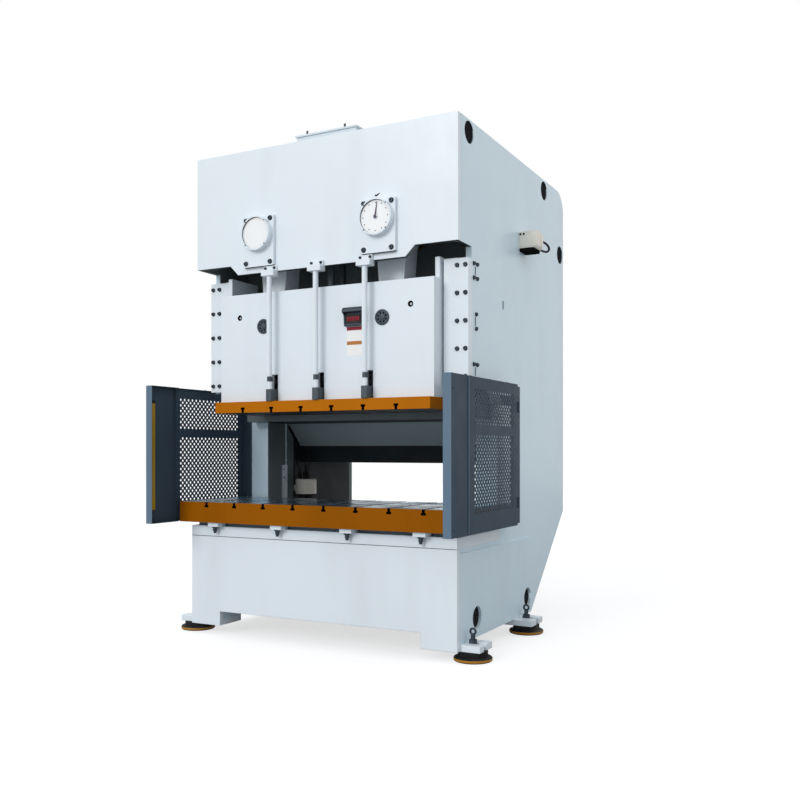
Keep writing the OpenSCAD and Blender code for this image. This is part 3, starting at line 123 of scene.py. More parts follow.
class Graph:
    """A material's node tree with its main shader, and short calls to extend it."""

    def __init__(self, label: str) -> None:
        """Starts a material with one main shader and its output."""
        self.material = bpy.data.materials.new(label)
        self.material.use_nodes = True
        self.nodes = self.material.node_tree.nodes
        self.links = self.material.node_tree.links
        self.nodes.clear()
        self.shader = self.nodes.new("ShaderNodeBsdfPrincipled")
        output = self.nodes.new("ShaderNodeOutputMaterial")
        self.links.new(self.shader.outputs["BSDF"], output.inputs["Surface"])
        self.place = self.nodes.new("ShaderNodeTexCoord").outputs["Object"]

    def noise(self, scale: float, stretch: tuple[float, float, float] = (1, 1, 1),
              detail: float = 3.0) -> bpy.types.NodeSocket:
        """Adds a cloudy pattern on object coordinates.

        Args:
            scale: Number of clouds in a metre.
            stretch: Factor on the scale along each axis.
            detail: Number of finer octaves.

        Returns:
            The pattern's value, from 0 to 1.
        """
        mapping = self.nodes.new("ShaderNodeMapping")
        mapping.inputs["Scale"].default_value = stretch
        self.links.new(self.place, mapping.inputs["Vector"])
        noise = self.nodes.new("ShaderNodeTexNoise")
        noise.inputs["Scale"].default_value = scale
        noise.inputs["Detail"].default_value = detail
        self.links.new(mapping.outputs["Vector"], noise.inputs["Vector"])
        return noise.outputs["Fac"]

    def spread(self, value: bpy.types.NodeSocket, low: float, high: float,
               start: float = 0.3, end: float = 0.7) -> bpy.types.NodeSocket:
        """Maps a pattern's middle range to a new range.

        Args:
            value: The pattern.
            low: Result at the start of the range.
            high: Result at the end of the range.
            start: Pattern value that gives the low result.
            end: Pattern value that gives the high result.

        Returns:
            The mapped value.
        """
        node = self.nodes.new("ShaderNodeMapRange")
        node.inputs["From Min"].default_value = start
        node.inputs["From Max"].default_value = end
        node.inputs["To Min"].default_value = low
        node.inputs["To Max"].default_value = high
        self.links.new(value, node.inputs["Value"])
        return node.outputs["Result"]

    def blend(self, amount: bpy.types.NodeSocket, first: Colour | bpy.types.NodeSocket,
              second: Colour | bpy.types.NodeSocket) -> bpy.types.NodeSocket:
        """Mixes two colours by a pattern.

        Args:
            amount: The pattern, 0 for the first colour and 1 for the second.
            first: A plain colour or a pattern's.
            second: A plain colour or a pattern's.

        Returns:
            The mixed colour.
        """
        node = self.nodes.new("ShaderNodeMix")
        node.data_type = "RGBA"
        for name, colour in (("A", first), ("B", second)):
            socket = next(s for s in node.inputs if s.name == name and s.type == "RGBA")
            if isinstance(colour, tuple):
                socket.default_value = colour
            else:
                self.links.new(colour, socket)
        self.links.new(amount, node.inputs["Factor"])
        return next(s for s in node.outputs if s.type == "RGBA")

    def bump(self, height: bpy.types.NodeSocket, strength: float, depth: float,
             base: bpy.types.NodeSocket | None = None) -> bpy.types.NodeSocket:
        """Turns a pattern into relief.

        Args:
            height: The pattern.
            strength: Share of the relief that shows.
            depth: Height of the relief in metres.
            base: Relief that this one lies on.

        Returns:
            The surface's changed direction.
        """
        node = self.nodes.new("ShaderNodeBump")
        node.inputs["Strength"].default_value = strength
        node.inputs["Distance"].default_value = depth
        self.links.new(height, node.inputs["Height"])
        if base is not None:
            self.links.new(base, node.inputs["Normal"])
        return node.outputs["Normal"]

    def use(self, name: str, value: bpy.types.NodeSocket) -> None:
        """Feeds a pattern to one of the main shader's inputs."""
        self.links.new(value, self.shader.inputs[name])

    def fix(self, name: str, value: float | Colour) -> None:
        """Sets one of the main shader's inputs to a plain value."""
        self.shader.inputs[name].default_value = value


@dataclass(frozen=True)
class Enamel:
    """Sprayed enamel on steel plate, with a faint orange peel and uneven tone."""

    label: str
    colour: str
    roughness: float = 0.34
    peel: float = 0.10
    unevenness: float = 0.05
    coat: float = 0.15
    specular: float = 0.5

    def build(self) -> bpy.types.Material:
        """Makes the material.

        Returns:
            The finished material.
        """
        graph = Graph(self.label)
        broad = graph.noise(0.9, detail=4.0)
        streaks = graph.noise(2.4, stretch=(1.0, 1.0, 0.22), detail=4.0)
        light = linear(self.colour, 1.0 + self.unevenness * 0.5)
        dark = linear(self.colour, 1.0 - self.unevenness * 1.5)
        cloudy = graph.blend(graph.spread(broad, 0.0, 1.0), light, linear(self.colour))
        colour = graph.blend(graph.spread(streaks, 0.0, 1.0, 0.5, 0.85), cloudy, dark)
        graph.use("Base Color", colour)
        rough = graph.spread(graph.noise(6.0), self.roughness - 0.05, self.roughness + 0.07)
        graph.use("Roughness", rough)
        rolled = graph.bump(graph.noise(3.0, detail=1.0), 0.12, 0.003)
        graph.use("Normal", graph.bump(graph.noise(420.0, detail=2.0), self.peel, 0.0006, rolled))
        graph.fix("Coat Weight", self.coat)
        graph.fix("Coat Roughness", 0.12)
        graph.fix("Specular IOR Level", self.specular)
        return graph.material


@dataclass(frozen=True)
class BareMetal:
    """Machined or cast metal with the lines of its tool and a film of oil."""

    label: str
    colour: str
    roughness: float = 0.32
    grain: Grain = Grain.NONE
    relief: float = 0.12
    stain: float = 0.16
    metallic: float = 1.0

    def build(self) -> bpy.types.Material:
        """Makes the material.

        Returns:
            The finished material.
        """
        graph = Graph(self.label)
        stains = graph.noise(5.0, detail=5.0)
        lines = graph.noise(1.0, stretch=self.grain.value, detail=2.0)
        base = graph.blend(graph.spread(lines, 0.0, 1.0), linear(self.colour, 1.08),
                           linear(self.colour, 0.86))
        film = graph.blend(graph.spread(stains, 0.0, 1.0, 0.5, 0.8), base,
                           linear(self.colour, 1.0 - self.stain * 2))
        graph.use("Base Color", film)
        graph.use("Roughness", graph.spread(stains, self.roughness - 0.06, self.roughness + 0.12))
        graph.use("Normal", graph.bump(lines, self.relief, 0.0004))
        graph.fix("Metallic", self.metallic)
        return graph.material


@dataclass(frozen=True)
class Moulded:
    """Rubber or plastic with a fine moulded grain."""

    label: str
    colour: str
    roughness: float = 0.6
    grain_scale: float = 700.0
    dust: float = 0.15
    dust_colour: str = "#b9b6ac"
    specular: float = 0.3

    def build(self) -> bpy.types.Material:
        """Makes the material.

        Returns:
            The finished material.
        """
        graph = Graph(self.label)
        dusty = graph.spread(graph.noise(7.0, detail=5.0), 0.0, self.dust, 0.45, 0.8)
        worn = graph.blend(dusty, linear(self.colour), linear(self.dust_colour))
        graph.use("Base Color", worn)
        rough = graph.spread(graph.noise(14.0), self.roughness - 0.08, self.roughness + 0.1)
        graph.use("Roughness", rough)
        graph.use("Normal", graph.bump(graph.noise(self.grain_scale, detail=2.0), 0.2, 0.0004))
        graph.fix("Specular IOR Level", self.specular)
        return graph.material


class Paint(Enum):
    """Every finish on the press by the place that wears it, with the painted shade and painted
    light that some places carry.
    """

    WHITE = Enamel("white_enamel", "#e3edf5")
    SIDE = Enamel("side_enamel", "#d3e8f4")
    LID = Enamel("lid_enamel", "#cfdbe3")
    # Dark primer inside and behind the frame; on the inner walls and the crown's lower slopes it
    # stands darker as painted shade
    INNER = Enamel("inner_primer", "#70797c", roughness=0.55, coat=0.0, unevenness=0.12,
                   specular=0.3)
    GUARD = Enamel("guard_enamel", "#3d4c5a", roughness=0.45, unevenness=0.07, coat=0.0,
                   specular=0.08)
    GUARD_EDGE = Enamel("guard_edge_enamel", "#62798d", roughness=0.42, coat=0.0, specular=0.2)
    ORANGE = Enamel("orange_enamel", "#b96c03", roughness=0.5, unevenness=0.08, coat=0.0,
                    specular=0.06)
    OCHRE = Enamel("ochre_enamel", "#965600", roughness=0.5, unevenness=0.1, coat=0.0,
                   specular=0.05)
    # Mid grey: painted shade on the dial rims' inner walls, and the grey of the bolster's foot
    RECESS = Enamel("recess_enamel", "#7b8790", roughness=0.5, coat=0.0, specular=0.3)
    # Painted light: a lighter copy of the inner primer for the throat's slope, where light falls on
    # it
    BEAM = Enamel("beam_primer", "#9aa5a8", roughness=0.55, coat=0.0, unevenness=0.1, specular=0.3)
    # Painted shade: near black for faces that lie in deep shade, such as undersides, the throat's
    # ceiling and the dark sheet on the wall
    SCREEN = Enamel("screen_enamel", "#23282c", roughness=0.5, coat=0.0, unevenness=0.12,
                    specular=0.15)
    DIAL = Enamel("dial_face", "#f6f9fb", roughness=0.3, unevenness=0.01)
    CREAM = Enamel("cream_enamel", "#f3efe4", roughness=0.42)
    YELLOW = Enamel("curtain_enamel", "#a8820e", roughness=0.35)
    MOTOR = Enamel("motor_enamel", "#4e5f6e", roughness=0.45, specular=0.3)
    RED = Enamel("red_field", "#8d1f2d", roughness=0.5, coat=0.0, specular=0.2)
    AMBER = Enamel("amber_field", "#b9793f", roughness=0.5, coat=0.0, specular=0.2)
    LABEL = Enamel("white_field", "#f2f3f2", roughness=0.5, coat=0.0)
    POINTER = Enamel("pointer_enamel", "#43284c", roughness=0.4)
    TABLE = BareMetal("milled_table", "#b8d5e9", roughness=0.22, grain=Grain.ACROSS)
    # Painted shade: the slide plate's underside, near black as it lies in shade
    DECK = BareMetal("shaded_deck", "#15181b", roughness=0.5, grain=Grain.ACROSS, metallic=0.3)
    WAYS = BareMetal("ground_ways", "#a9b2b8", roughness=0.28, grain=Grain.UPRIGHT)
    STEEL = BareMetal("turned_steel", "#a3abb0", roughness=0.33)
    SCREW = BareMetal("blackened_screw", "#434c55", roughness=0.42, metallic=0.8)
    BAR = BareMetal("oiled_bar", "#4c555b", roughness=0.45, grain=Grain.DEEP, metallic=0.7)
    CASTING = BareMetal("dark_casting", "#42484d", roughness=0.58, relief=0.5, metallic=0.35)
    BRONZE = BareMetal("bearing_bronze", "#a67f40", roughness=0.35)
    PAD = Moulded("ochre_pad", "#a8741a", roughness=0.5)
    BLACK = Moulded("black_rubber", "#202124", specular=0.08)
    PLUG = Moulded("moulded_plug", "#26272b", roughness=0.6, dust=0.02, specular=0.0)
    CABLE = Moulded("black_sheath", "#1b232c", roughness=0.45, specular=0.08)
    SHADE = Moulded("slot_shade", "#111315", roughness=0.8, dust=0.02, specular=0.0)

    def material(self) -> bpy.types.Material:
        """Gives this finish's material, made at its first use."""
        found = bpy.data.materials.get(self.value.label)
        return found if found is not None else self.value.build()


def add_object(name: str, data: bpy.types.ID) -> bpy.types.Object:
    """Puts data into the scene as an object at the origin."""
    made = bpy.data.objects.new(name, data)
    bpy.context.scene.collection.objects.link(made)
    return made


def smooth_by_angle(piece: bpy.types.Object, degrees: float = SHARP_ANGLE) -> None:
    """Shades a mesh smooth, with its edges sharp above an angle."""
    piece.data.shade_smooth()
    piece.data.set_sharp_from_angle(angle=math.radians(degrees))


def add_form(name: str, form: bmesh.types.BMesh, paints: Iterable[Paint] = (),
             closed: bool = True) -> bpy.types.Object:
    """Turns an edited form into an object with its finishes.

    Args:
        name: Name of the new piece.
        form: The form, which is freed.
        paints: Finishes by material index.
        closed: Whether its faces are turned outwards and shaded by angle.

    Returns:
        The new object.
    """
    if closed:
        bmesh.ops.recalc_face_normals(form, faces=form.faces)
    mesh = bpy.data.meshes.new(name)
    form.to_mesh(mesh)
    form.free()
    for paint in paints:
        mesh.materials.append(paint.material())
    piece = add_object(name, mesh)
    if closed:
        smooth_by_angle(piece)
    return piece


def plain_mesh(source: bpy.types.Object) -> bpy.types.Mesh:
    """Gives the mesh that an object's modifiers or curve settings make."""
    graph = bpy.context.evaluated_depsgraph_get()
    return bpy.data.meshes.new_from_object(source.evaluated_get(graph))


def settle(piece: bpy.types.Object) -> None:
    """Turns an object's modifiers into plain mesh and removes them.

    Args:
        piece: The object.
    """
    mesh = plain_mesh(piece)
    piece.modifiers.clear()
    piece.data = mesh
    mesh.name = piece.name


def hand_over(piece: bpy.types.Object, body: str, slot: str, *nodes: str) -> None:
    """Gives a finished piece to the body it moves with.

    Args:
        piece: The finished piece.
        body: Name of the body.
        slot: The record's material slot; not used.
        nodes: Solids that the piece stands for.
    """
    if nodes:
        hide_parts(*nodes)
    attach(piece, body)
    log.info("%s rides on %s with %d faces", piece.name, body, len(piece.data.polygons))


def turns(count: int, start: float = 0.0, way: float = 1.0) -> list[tuple[float, float]]:
    """Gives the cosine and sine of evenly spaced angles.

    Args:
        count: Number of angles in a full turn.
        start: First angle, in radians.
        way: 1 for steps from X towards the second axis, -1 for steps back.

    Returns:
        A pair for each angle.
    """
    angles = (start + way * math.tau * i / count for i in range(count))
    return [(math.cos(a), math.sin(a)) for a in angles]


def circle(middle: Vector, radius: float, count: int, start: float,
           way: float = 1.0) -> list[Vector]:
    """Gives evenly spaced points on an upright circle that looks to the front."""
    return [middle + Vector((x, 0.0, z)) * radius for x, z in turns(count, start, way)]


def join_rings(form: bmesh.types.BMesh, rings: list[Ring], capped: bool = False,
               looped: bool = False) -> list[bmesh.types.BMFace]:
    """Lays faces between rings of points, where a single point makes a pole.

    Args:
        form: Form that takes the faces.
        rings: The rings in order.
        capped: Whether the first and the last ring are closed with a face.
        looped: Whether the last ring is joined to the first.

    Returns:
        The faces between the rings.
    """
    faces = []
    for low, high in zip(rings, rings[1:] + rings[:1] if looped else rings[1:]):
        for i in range(max(len(low), len(high))):
            j = i + 1
            corners = (low[i % len(low)], low[j % len(low)],
                       high[j % len(high)], high[i % len(high)])
            unique = list(dict.fromkeys(corners))
            if len(unique) > 2:
                faces.append(form.faces.new(unique))
    if capped:
        form.faces.new(rings[0][::-1])
        form.faces.new(rings[-1])
    return faces


def lathe(form: bmesh.types.BMesh, profile: Outline, sides: int = 48,
          place: Matrix = AT_ORIGIN) -> list[bmesh.types.BMFace]:
    """Turns a profile of radius and height about the upright axis.

    Args:
        form: Form that takes the faces.
        profile: Points from the axis below to the axis above.
        sides: Number of faces around.
        place: Place of the turned shape.

    Returns:
        The new faces.
    """
    rings = [[form.verts.new(place @ Vector((radius * x, radius * y, height)))
              for x, y in turns(sides if radius else 1)] for radius, height in profile]
    return join_rings(form, rings)


def disc(radius: float, height: float) -> Outline:
    """Gives the profile of a flat disc."""
    return [(0, 0), (radius, 0), (radius, height), (0, height)]


def disc_shape(name: str, radius: float, height: float, sides: int) -> bpy.types.Object:
    """Makes a flat disc on the origin.

    Args:
        name: Name of the disc.
        radius: Its radius.
        height: Its thickness.
        sides: Number of faces around.

    Returns:
        The disc.
    """
    form = bmesh.new()
    lathe(form, disc(radius, height), sides)
    return add_form(name, form)


def prism(form: bmesh.types.BMesh, outline: list[Vector], back: Vector, front: Vector) -> None:
    """Adds a sheet between two shifted copies of an outline."""
    rings = [[form.verts.new(p + shift) for p in outline] for shift in (back, front)]
    join_rings(form, rings, capped=True)


def add_block(form: bmesh.types.BMesh, low: Vector, high: Vector, index: int = 0,
              soft: float = 0.0) -> None:
    """Adds a block between two corners, with its edges rounded.

    Args:
        form: Form that takes the block.
        low: Lowest corner.
        high: Highest corner.
        index: Material index of its faces.
        soft: Radius of the rounded edges.
    """
    place = Matrix.LocRotScale((low + high) / 2, None, high - low)
    made = bmesh.ops.create_cube(form, size=1.0, matrix=place)["verts"]
    for face in {f for v in made for f in v.link_faces}:
        face.material_index = index
    if soft > 0:
        edges = list({e for v in made for e in v.link_edges})
        rounded = bmesh.ops.bevel(form, geom=edges, offset=soft, segments=2, affect="EDGES",
                                  profile=0.5)
        for face in rounded["faces"]:
            face.material_index = index


def rounded_path(corners: list[Vector], radius: float, steps: int = 6) -> list[Vector]:
    """Rounds the inner corners of an open path.

    Args:
        corners: Ends and corners of the path.
        radius: Distance from a corner at which its bend starts.
        steps: Points along a bend.

    Returns:
        The points of the smooth path.
    """
    points = [corners[0]]
    for before, corner, after in zip(corners, corners[1:], corners[2:]):
        start = corner + (before - corner).normalized() * radius
        end = corner + (after - corner).normalized() * radius
        for i in range(steps + 1):
            share = i / steps
            points.append(start.lerp(corner, share).lerp(corner.lerp(end, share), share))
    return [*points, corners[-1]]


def sweep(form: bmesh.types.BMesh, path: list[Vector], radius: float, sides: int) -> None:
    """Adds a closed round pipe along an open path.

    Args:
        form: Form that takes the pipe.
        path: Points of the pipe's middle.
        radius: Radius of the pipe.
        sides: Number of faces around.
    """
    rings = []
    side = Vector((0.0, 1.0, 0.0))
    for i, point in enumerate(path):
        ahead = (path[min(i + 1, len(path) - 1)] - path[max(i - 1, 0)]).normalized()
        side = (side - ahead * side.dot(ahead)).normalized()
        up = ahead.cross(side)
        rings.append([form.verts.new(point + (side * x + up * y) * radius)
                      for x, y in turns(sides)])
    join_rings(form, rings, capped=True)


def merged_copy(node: str) -> bmesh.types.BMesh:
    """Copies a node's solid and merges its doubled points.

    Args:
        node: Name of the node.

    Returns:
        The copy.
    """
    form = bmesh.new()
    form.from_mesh(bpy.data.objects[node].data)
    bmesh.ops.remove_doubles(form, verts=form.verts, dist=JOIN_GAP)
    return form


def loose_boxes(node: str) -> list[tuple[Vector, Vector]]:
    """Finds the loose solids of a node.

    Args:
        node: Name of the node.

    Returns:
        Lowest and highest corner of each solid, in the order of their first points.
    """
    form = merged_copy(node)
    waiting = set(form.verts)
    boxes = []
    for first in form.verts:
        if first not in waiting:
            continue
        waiting.remove(first)
        stack, found = [first], []
        while stack:
            vert = stack.pop()
            found.append(vert.co.copy())
            near = {e.other_vert(vert) for e in vert.link_edges} & waiting
            waiting -= near
            stack.extend(near)
        low, high = (Vector(pick(p[i] for p in found) for i in range(3)) for pick in (min, max))
        boxes.append((low, high))
    form.free()
    return boxes


@dataclass
class SoftenedPlate:
    """A copy of a node's solid with rounded edges and a finish for each kind of face."""

    node: str
    body: str
    slot: str
    paints: tuple[Paint, ...]
    radius: float = 0.003
    rule: FaceRule | None = None
    segments: int = 2
    joins_flats: bool = True
    flat_angle: float = 0.5
    edge_angle: float = 38.0

    def build(self) -> bpy.types.Object:
        """Makes the copy, dresses it and gives it to its body.

        Returns:
            The finished copy.
        """
        form = merged_copy(self.node)
        if self.joins_flats:
            bmesh.ops.dissolve_limit(form, angle_limit=math.radians(self.flat_angle),
                                     verts=form.verts, edges=form.edges)
        for face in form.faces:
            middle = face.calc_center_median()
            face.material_index = self.rule(face.normal, middle) if self.rule else 0
        piece = add_form(f"{self.node}_plate", form, self.paints, closed=False)
        piece.data.shade_smooth()
        bevel = piece.modifiers.new("round edges", "BEVEL")
        bevel.width = self.radius
        bevel.segments = self.segments
        bevel.limit_method = "ANGLE"
        bevel.angle_limit = math.radians(self.edge_angle)
        bevel.miter_outer = "MITER_ARC"
        bevel.use_clamp_overlap = True
        level = piece.modifiers.new("level faces", "WEIGHTED_NORMAL")
        level.keep_sharp = True
        settle(piece)
        hand_over(piece, self.body, self.slot, self.node)
        return piece


@dataclass(frozen=True)
class CapScrew:
    """Head of a socket screw, drawn upwards from the face that it stands on."""

    radius: float
    height: float
    socket: float = 0.5
    chamfer: float = 0.12
    sides: int = 24

    def ring(self, form: bmesh.types.BMesh, radius: float, height: float, hexagon: bool) -> Ring:
        """Sets a round or a six-sided ring of points.

        Args:
            form: Form that takes the points.
            radius: Radius of the circle or of the hexagon's corners.
            height: Height of the ring.
            hexagon: Whether the ring has six sides.

        Returns:
            The points.
        """
        half = math.pi / 6
        points = []
        for i in range(self.sides):
            angle = math.tau * i / self.sides
            reach = radius
            if hexagon:
                reach *= math.cos(half) / math.cos(angle % (2 * half) - half)
            point = (reach * math.cos(angle), reach * math.sin(angle), height)
            points.append(form.verts.new(point))
        return points

    def shape(self) -> bpy.types.Object:
        """Makes the head with its six-sided socket.

        Returns:
            The head as an object at the origin.
        """
        form = bmesh.new()
        edge = self.radius * self.chamfer
        inner = self.radius * self.socket
        rings = ((self.radius, 0.0, False), (self.radius, self.height - edge, False),
                 (self.radius - edge, self.height, False), (inner * 1.08, self.height, True),
                 (inner, self.height - edge * 0.6, True), (inner, self.height * 0.4, True))
        join_rings(form, [self.ring(form, *ring) for ring in rings], capped=True)
        return add_form("cap_screw", form)


@dataclass(frozen=True)
class HexHead:
    """Hexagon head on a washer, drawn upwards from the face that it stands on."""

    radius: float
    height: float
    washer: float = 1.3

    def shape(self) -> bpy.types.Object:
        """Makes the washer and the chamfered head.

        Returns:
            The head as an object at the origin.
        """
        form = bmesh.new()
        sheet = self.height * 0.16
        lathe(form, disc(self.radius * self.washer, sheet), 32)
        lathe(form, [(0, sheet), (self.radius, sheet), (self.radius, self.height * 0.92),
                     (self.radius * 0.9, self.height), (0, self.height)], 6)
        return add_form("hex_head", form)


class Scatter:
    """A tree that sets one small shape on every point of a mesh."""

    seed: int = 7

    def __init__(self) -> None:
        """Builds the tree once, with named inputs."""
        self.tree = bpy.data.node_groups.new("set_on_points", "GeometryNodeTree")
        socket = self.tree.interface.new_socket
        socket("Geometry", in_out="INPUT", socket_type="NodeSocketGeometry")
        self.inputs = {}
        for name, kind in (("Shape", "Object"), ("Turn", "Vector"), ("Spin", "Float"),
                           ("Finish", "Material")):
            made = socket(name, in_out="INPUT", socket_type=f"NodeSocket{kind}")
            self.inputs[name] = made.identifier
        socket("Geometry", in_out="OUTPUT", socket_type="NodeSocketGeometry")
        add = self.tree.nodes.new
        source = add("NodeGroupInput")
        points = add("GeometryNodeMeshToPoints")
        info = add("GeometryNodeObjectInfo")
        place = add("GeometryNodeInstanceOnPoints")
        chance = add("FunctionNodeRandomValue")
        chance.data_type = "FLOAT_VECTOR"
        chance.inputs["Seed"].default_value = self.seed
        combine = add("ShaderNodeCombineXYZ")
        twist = add("GeometryNodeRotateInstances")
        realize = add("GeometryNodeRealizeInstances")
        dress = add("GeometryNodeSetMaterial")
        result = add("NodeGroupOutput")
        for start, output, end, name in (
                (source, "Geometry", points, "Mesh"), (source, "Shape", info, "Object"),
                (points, "Points", place, "Points"), (info, "Geometry", place, "Instance"),
                (source, "Turn", place, "Rotation"), (source, "Spin", combine, "Z"),
                (combine, "Vector", chance, "Max"), (place, "Instances", twist, "Instances"),
                (chance, "Value", twist, "Rotation"), (twist, "Instances", realize, "Geometry"),
                (realize, "Geometry", dress, "Geometry"), (source, "Finish", dress, "Material"),
                (dress, "Geometry", result, "Geometry")):
            self.tree.links.new(start.outputs[output], end.inputs[name])

    def run(self, name: str, shape: bpy.types.Object, points: list[Vector], facing: Facing,
            paint: Paint, spin: float = 0.0) -> bpy.types.Object:
        """Sets the shape on points.

        Args:
            name: Name of the new piece.
            shape: Small shape drawn upwards at the origin, which is removed.
            points: Places in the frame.
            facing: Face of the press that the shapes look out of.
            paint: Finish of the shapes.
            spin: Largest chance turn about each shape's own axis, in radians.

        Returns:
            The shapes as one plain mesh.
        """
        mesh = bpy.data.meshes.new(name)
        mesh.from_pydata([tuple(p) for p in points], [], [])
        piece = add_object(name, mesh)
        modifier = piece.modifiers.new("set on points", "NODES")
        modifier.node_group = self.tree
        values = {"Shape": shape, "Turn": facing.value, "Spin": spin, "Finish": paint.material()}
        for socket, value in values.items():
            modifier[self.inputs[socket]] = value
        settle(piece)
        bpy.data.objects.remove(shape)
        smooth_by_angle(piece)
        return piece

    def screw(self, name: str, head: CapScrew | HexHead, points: list[Vector], facing: Facing,
              body: str, *nodes: str) -> None:
        """Sets screw heads on points, each turned by chance, and gives them to a body.

        Args:
            name: Name of the new piece.
            head: The screws' head.
            points: Places in the frame.
            facing: Face of the press that the heads look out of.
            body: Body that the screws ride on.
            nodes: Solids that the heads stand for.
        """
        piece = self.run(name, head.shape(), points, facing, Paint.SCREW, 1.0)
        hand_over(piece, body, "dark_steel", *nodes)


@dataclass
class Studio:
    """Camera at the photographed angle, soft light and a plain pale floor."""

    eye: tuple[float, float, float] = (4.089, -7.3607, 1.6193)
    heading: float = 0.4849
    lens: float = 40.61
    sensor: float = 36.0
    rise: float = 0.062
    sky: float = 0.79
    key: float = 1.05
    key_spread: float = 24.0
    key_from: tuple[float, float, float] = (-0.25, -0.9, 0.45)
    floor_side: float = 60.0
    floor_colour: Colour = (0.42, 0.43, 0.44, 1.0)
    floor_glow: float = 0.66

    def camera(self) -> None:
        """Sets the camera."""
        data = bpy.data.cameras.new("camera")
        data.lens = self.lens
        data.sensor_width = self.sensor
        data.shift_y = self.rise
        data.clip_end = 200.0
        camera = add_object("camera", data)
        camera.location = self.eye
        camera.rotation_euler = (math.radians(90), 0.0, self.heading)
        bpy.context.scene.camera = camera

    def light(self) -> None:
        """Sets the sky, which looks white itself, and one soft key lamp from the front left."""
        world = bpy.data.worlds.new("world")
        bpy.context.scene.world = world
        world.use_nodes = True
        world.node_tree.nodes.clear()
        add = world.node_tree.nodes.new
        link = world.node_tree.links.new
        path = add("ShaderNodeLightPath")
        seen = path.outputs["Is Camera Ray"]
        for name in ("Is Transmission Ray", "Is Glossy Ray"):
            larger = add("ShaderNodeMath")
            larger.operation = "MAXIMUM"
            link(seen, larger.inputs[0])
            link(path.outputs[name], larger.inputs[1])
            seen = larger.outputs["Value"]
        mix = add("ShaderNodeMixShader")
        link(seen, mix.inputs["Fac"])
        for socket, strength in ((1, self.sky), (2, 1.0)):
            background = add("ShaderNodeBackground")
            background.inputs["Color"].default_value = PURE_WHITE
            background.inputs["Strength"].default_value = strength
            link(background.outputs["Background"], mix.inputs[socket])
        link(mix.outputs["Shader"], add("ShaderNodeOutputWorld").inputs["Surface"])
        data = bpy.data.lights.new("key", "SUN")
        data.energy = self.key
        data.angle = math.radians(self.key_spread)
        lamp = add_object("key", data)
        lamp.rotation_euler = Vector(self.key_from).to_track_quat("Z", "Y").to_euler()
        bpy.context.scene.view_settings.view_transform = "Standard"

    def floor(self) -> None:
        """Lays the floor, which shows white where no shadow falls."""
        form = bmesh.new()
        half = self.floor_side / 2
        corners = ((-half, -half, 0.0), (half, -half, 0.0), (half, half, 0.0), (-half, half, 0.0))
        form.faces.new([form.verts.new(corner) for corner in corners])
        piece = add_form("floor", form, closed=False)
        graph = Graph("floor")
        graph.fix("Base Color", self.floor_colour)
        graph.fix("Roughness", 0.9)
        graph.fix("Specular IOR Level", 0.1)
        graph.fix("Emission Color", PURE_WHITE)
        path = graph.nodes.new("ShaderNodeLightPath")
        glow = graph.nodes.new("ShaderNodeMath")
        glow.operation = "MULTIPLY"
        glow.inputs[1].default_value = self.floor_glow
        graph.links.new(path.outputs["Is Camera Ray"], glow.inputs[0])
        graph.use("Emission Strength", glow.outputs["Value"])
        piece.data.materials.append(graph.material)


@dataclass
class PressFrame:
    """Side plates, crown, bed and the inner plates."""

    plate_edge: float = 0.004
    inner_face: float = 1.26
    inward: float = 0.7
    shaded: float = 0.4
    crown_reach: float = 0.05
    stud_height: float = 0.0605
    rim_top: float = 0.030
    rim_slope: float = 0.6
    joint_rise: float = 0.0006
    joint_heights: tuple[float, float] = (0.0015, 0.0025)

    def build(self) -> None:
        """Dresses the welded frame."""
        crown_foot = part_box("crown_front_plate")[0].z - self.crown_reach
        for side, sign in (("left", 1.0), ("right", -1.0)):
            def rule(normal: Vector, middle: Vector, toward: float = sign) -> int:
                """Gives the wall inside the frame its primer, darkened as painted shade, and the
                cut-out's underside painted shade.
                """
                if normal.z < -self.shaded and middle.z > crown_foot:
                    return 2
                inside = normal.x * toward > self.inward and abs(middle.x) < self.inner_face
                return 1 if inside else 0

            SoftenedPlate(f"side_frame_{side}", "frame", "side_paint",
                          (Paint.SIDE, Paint.INNER, Paint.SCREEN), self.plate_edge, rule).build()

        def crown_rule(normal: Vector, middle: Vector) -> int:
            """Gives the crown's lower edge painted shade: near black underneath, the darker primer
            on its slopes.
            """
            return 2 if normal.z < -FLAT else 1 if normal.z < -LEANING else 0

        SoftenedPlate("crown_front_plate", "frame", "white_paint",
                      (Paint.WHITE, Paint.INNER, Paint.SCREEN), self.plate_edge, crown_rule).build()
        for node in ("bed_front_plate", "bed_table_plate"):
            SoftenedPlate(node, "frame", "white_paint", (Paint.WHITE,), self.plate_edge).build()
        SoftenedPlate("foot_plates", "frame", "side_paint", (Paint.WHITE,)).build()
        lid_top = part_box("top_cover")[1].z - self.stud_height

        def lid_rule(normal: Vector, middle: Vector) -> int:
            """Tells the studs from the lid."""
            return 1 if middle.z > lid_top else 0

        def pad_rule(normal: Vector, middle: Vector) -> int:
            """Tells the levelling pads' coloured rims from their dark seats."""
            return 1 if middle.z < self.rim_top and abs(normal.z) < self.rim_slope else 0

        SoftenedPlate("top_cover", "frame", "side_paint", (Paint.LID, Paint.SCREW),
                      rule=lid_rule).build()
        SoftenedPlate("crown_top_plate", "frame", "white_paint", (Paint.WHITE,), 0.002).build()
        SoftenedPlate("levelling_pads", "frame", "pad_rubber", (Paint.BLACK, Paint.PAD), 0.0015,
                      pad_rule).build()
        self.joint_line()

    def joint_line(self) -> None:
        """Lays the dark joint between the table plate and the bed's front plate."""
        low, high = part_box("bed_front_plate")
        form = bmesh.new()
        edge = self.plate_edge
        down, up = self.joint_heights
        add_block(form, Vector((low.x + edge, low.y - self.joint_rise, high.z - down)),
                  Vector((high.x - edge, low.y + edge, high.z + up)), soft=self.joint_rise / 2)
        hand_over(add_form("bed_joint", form, (Paint.SHADE,)), "frame", "plug_plastic")


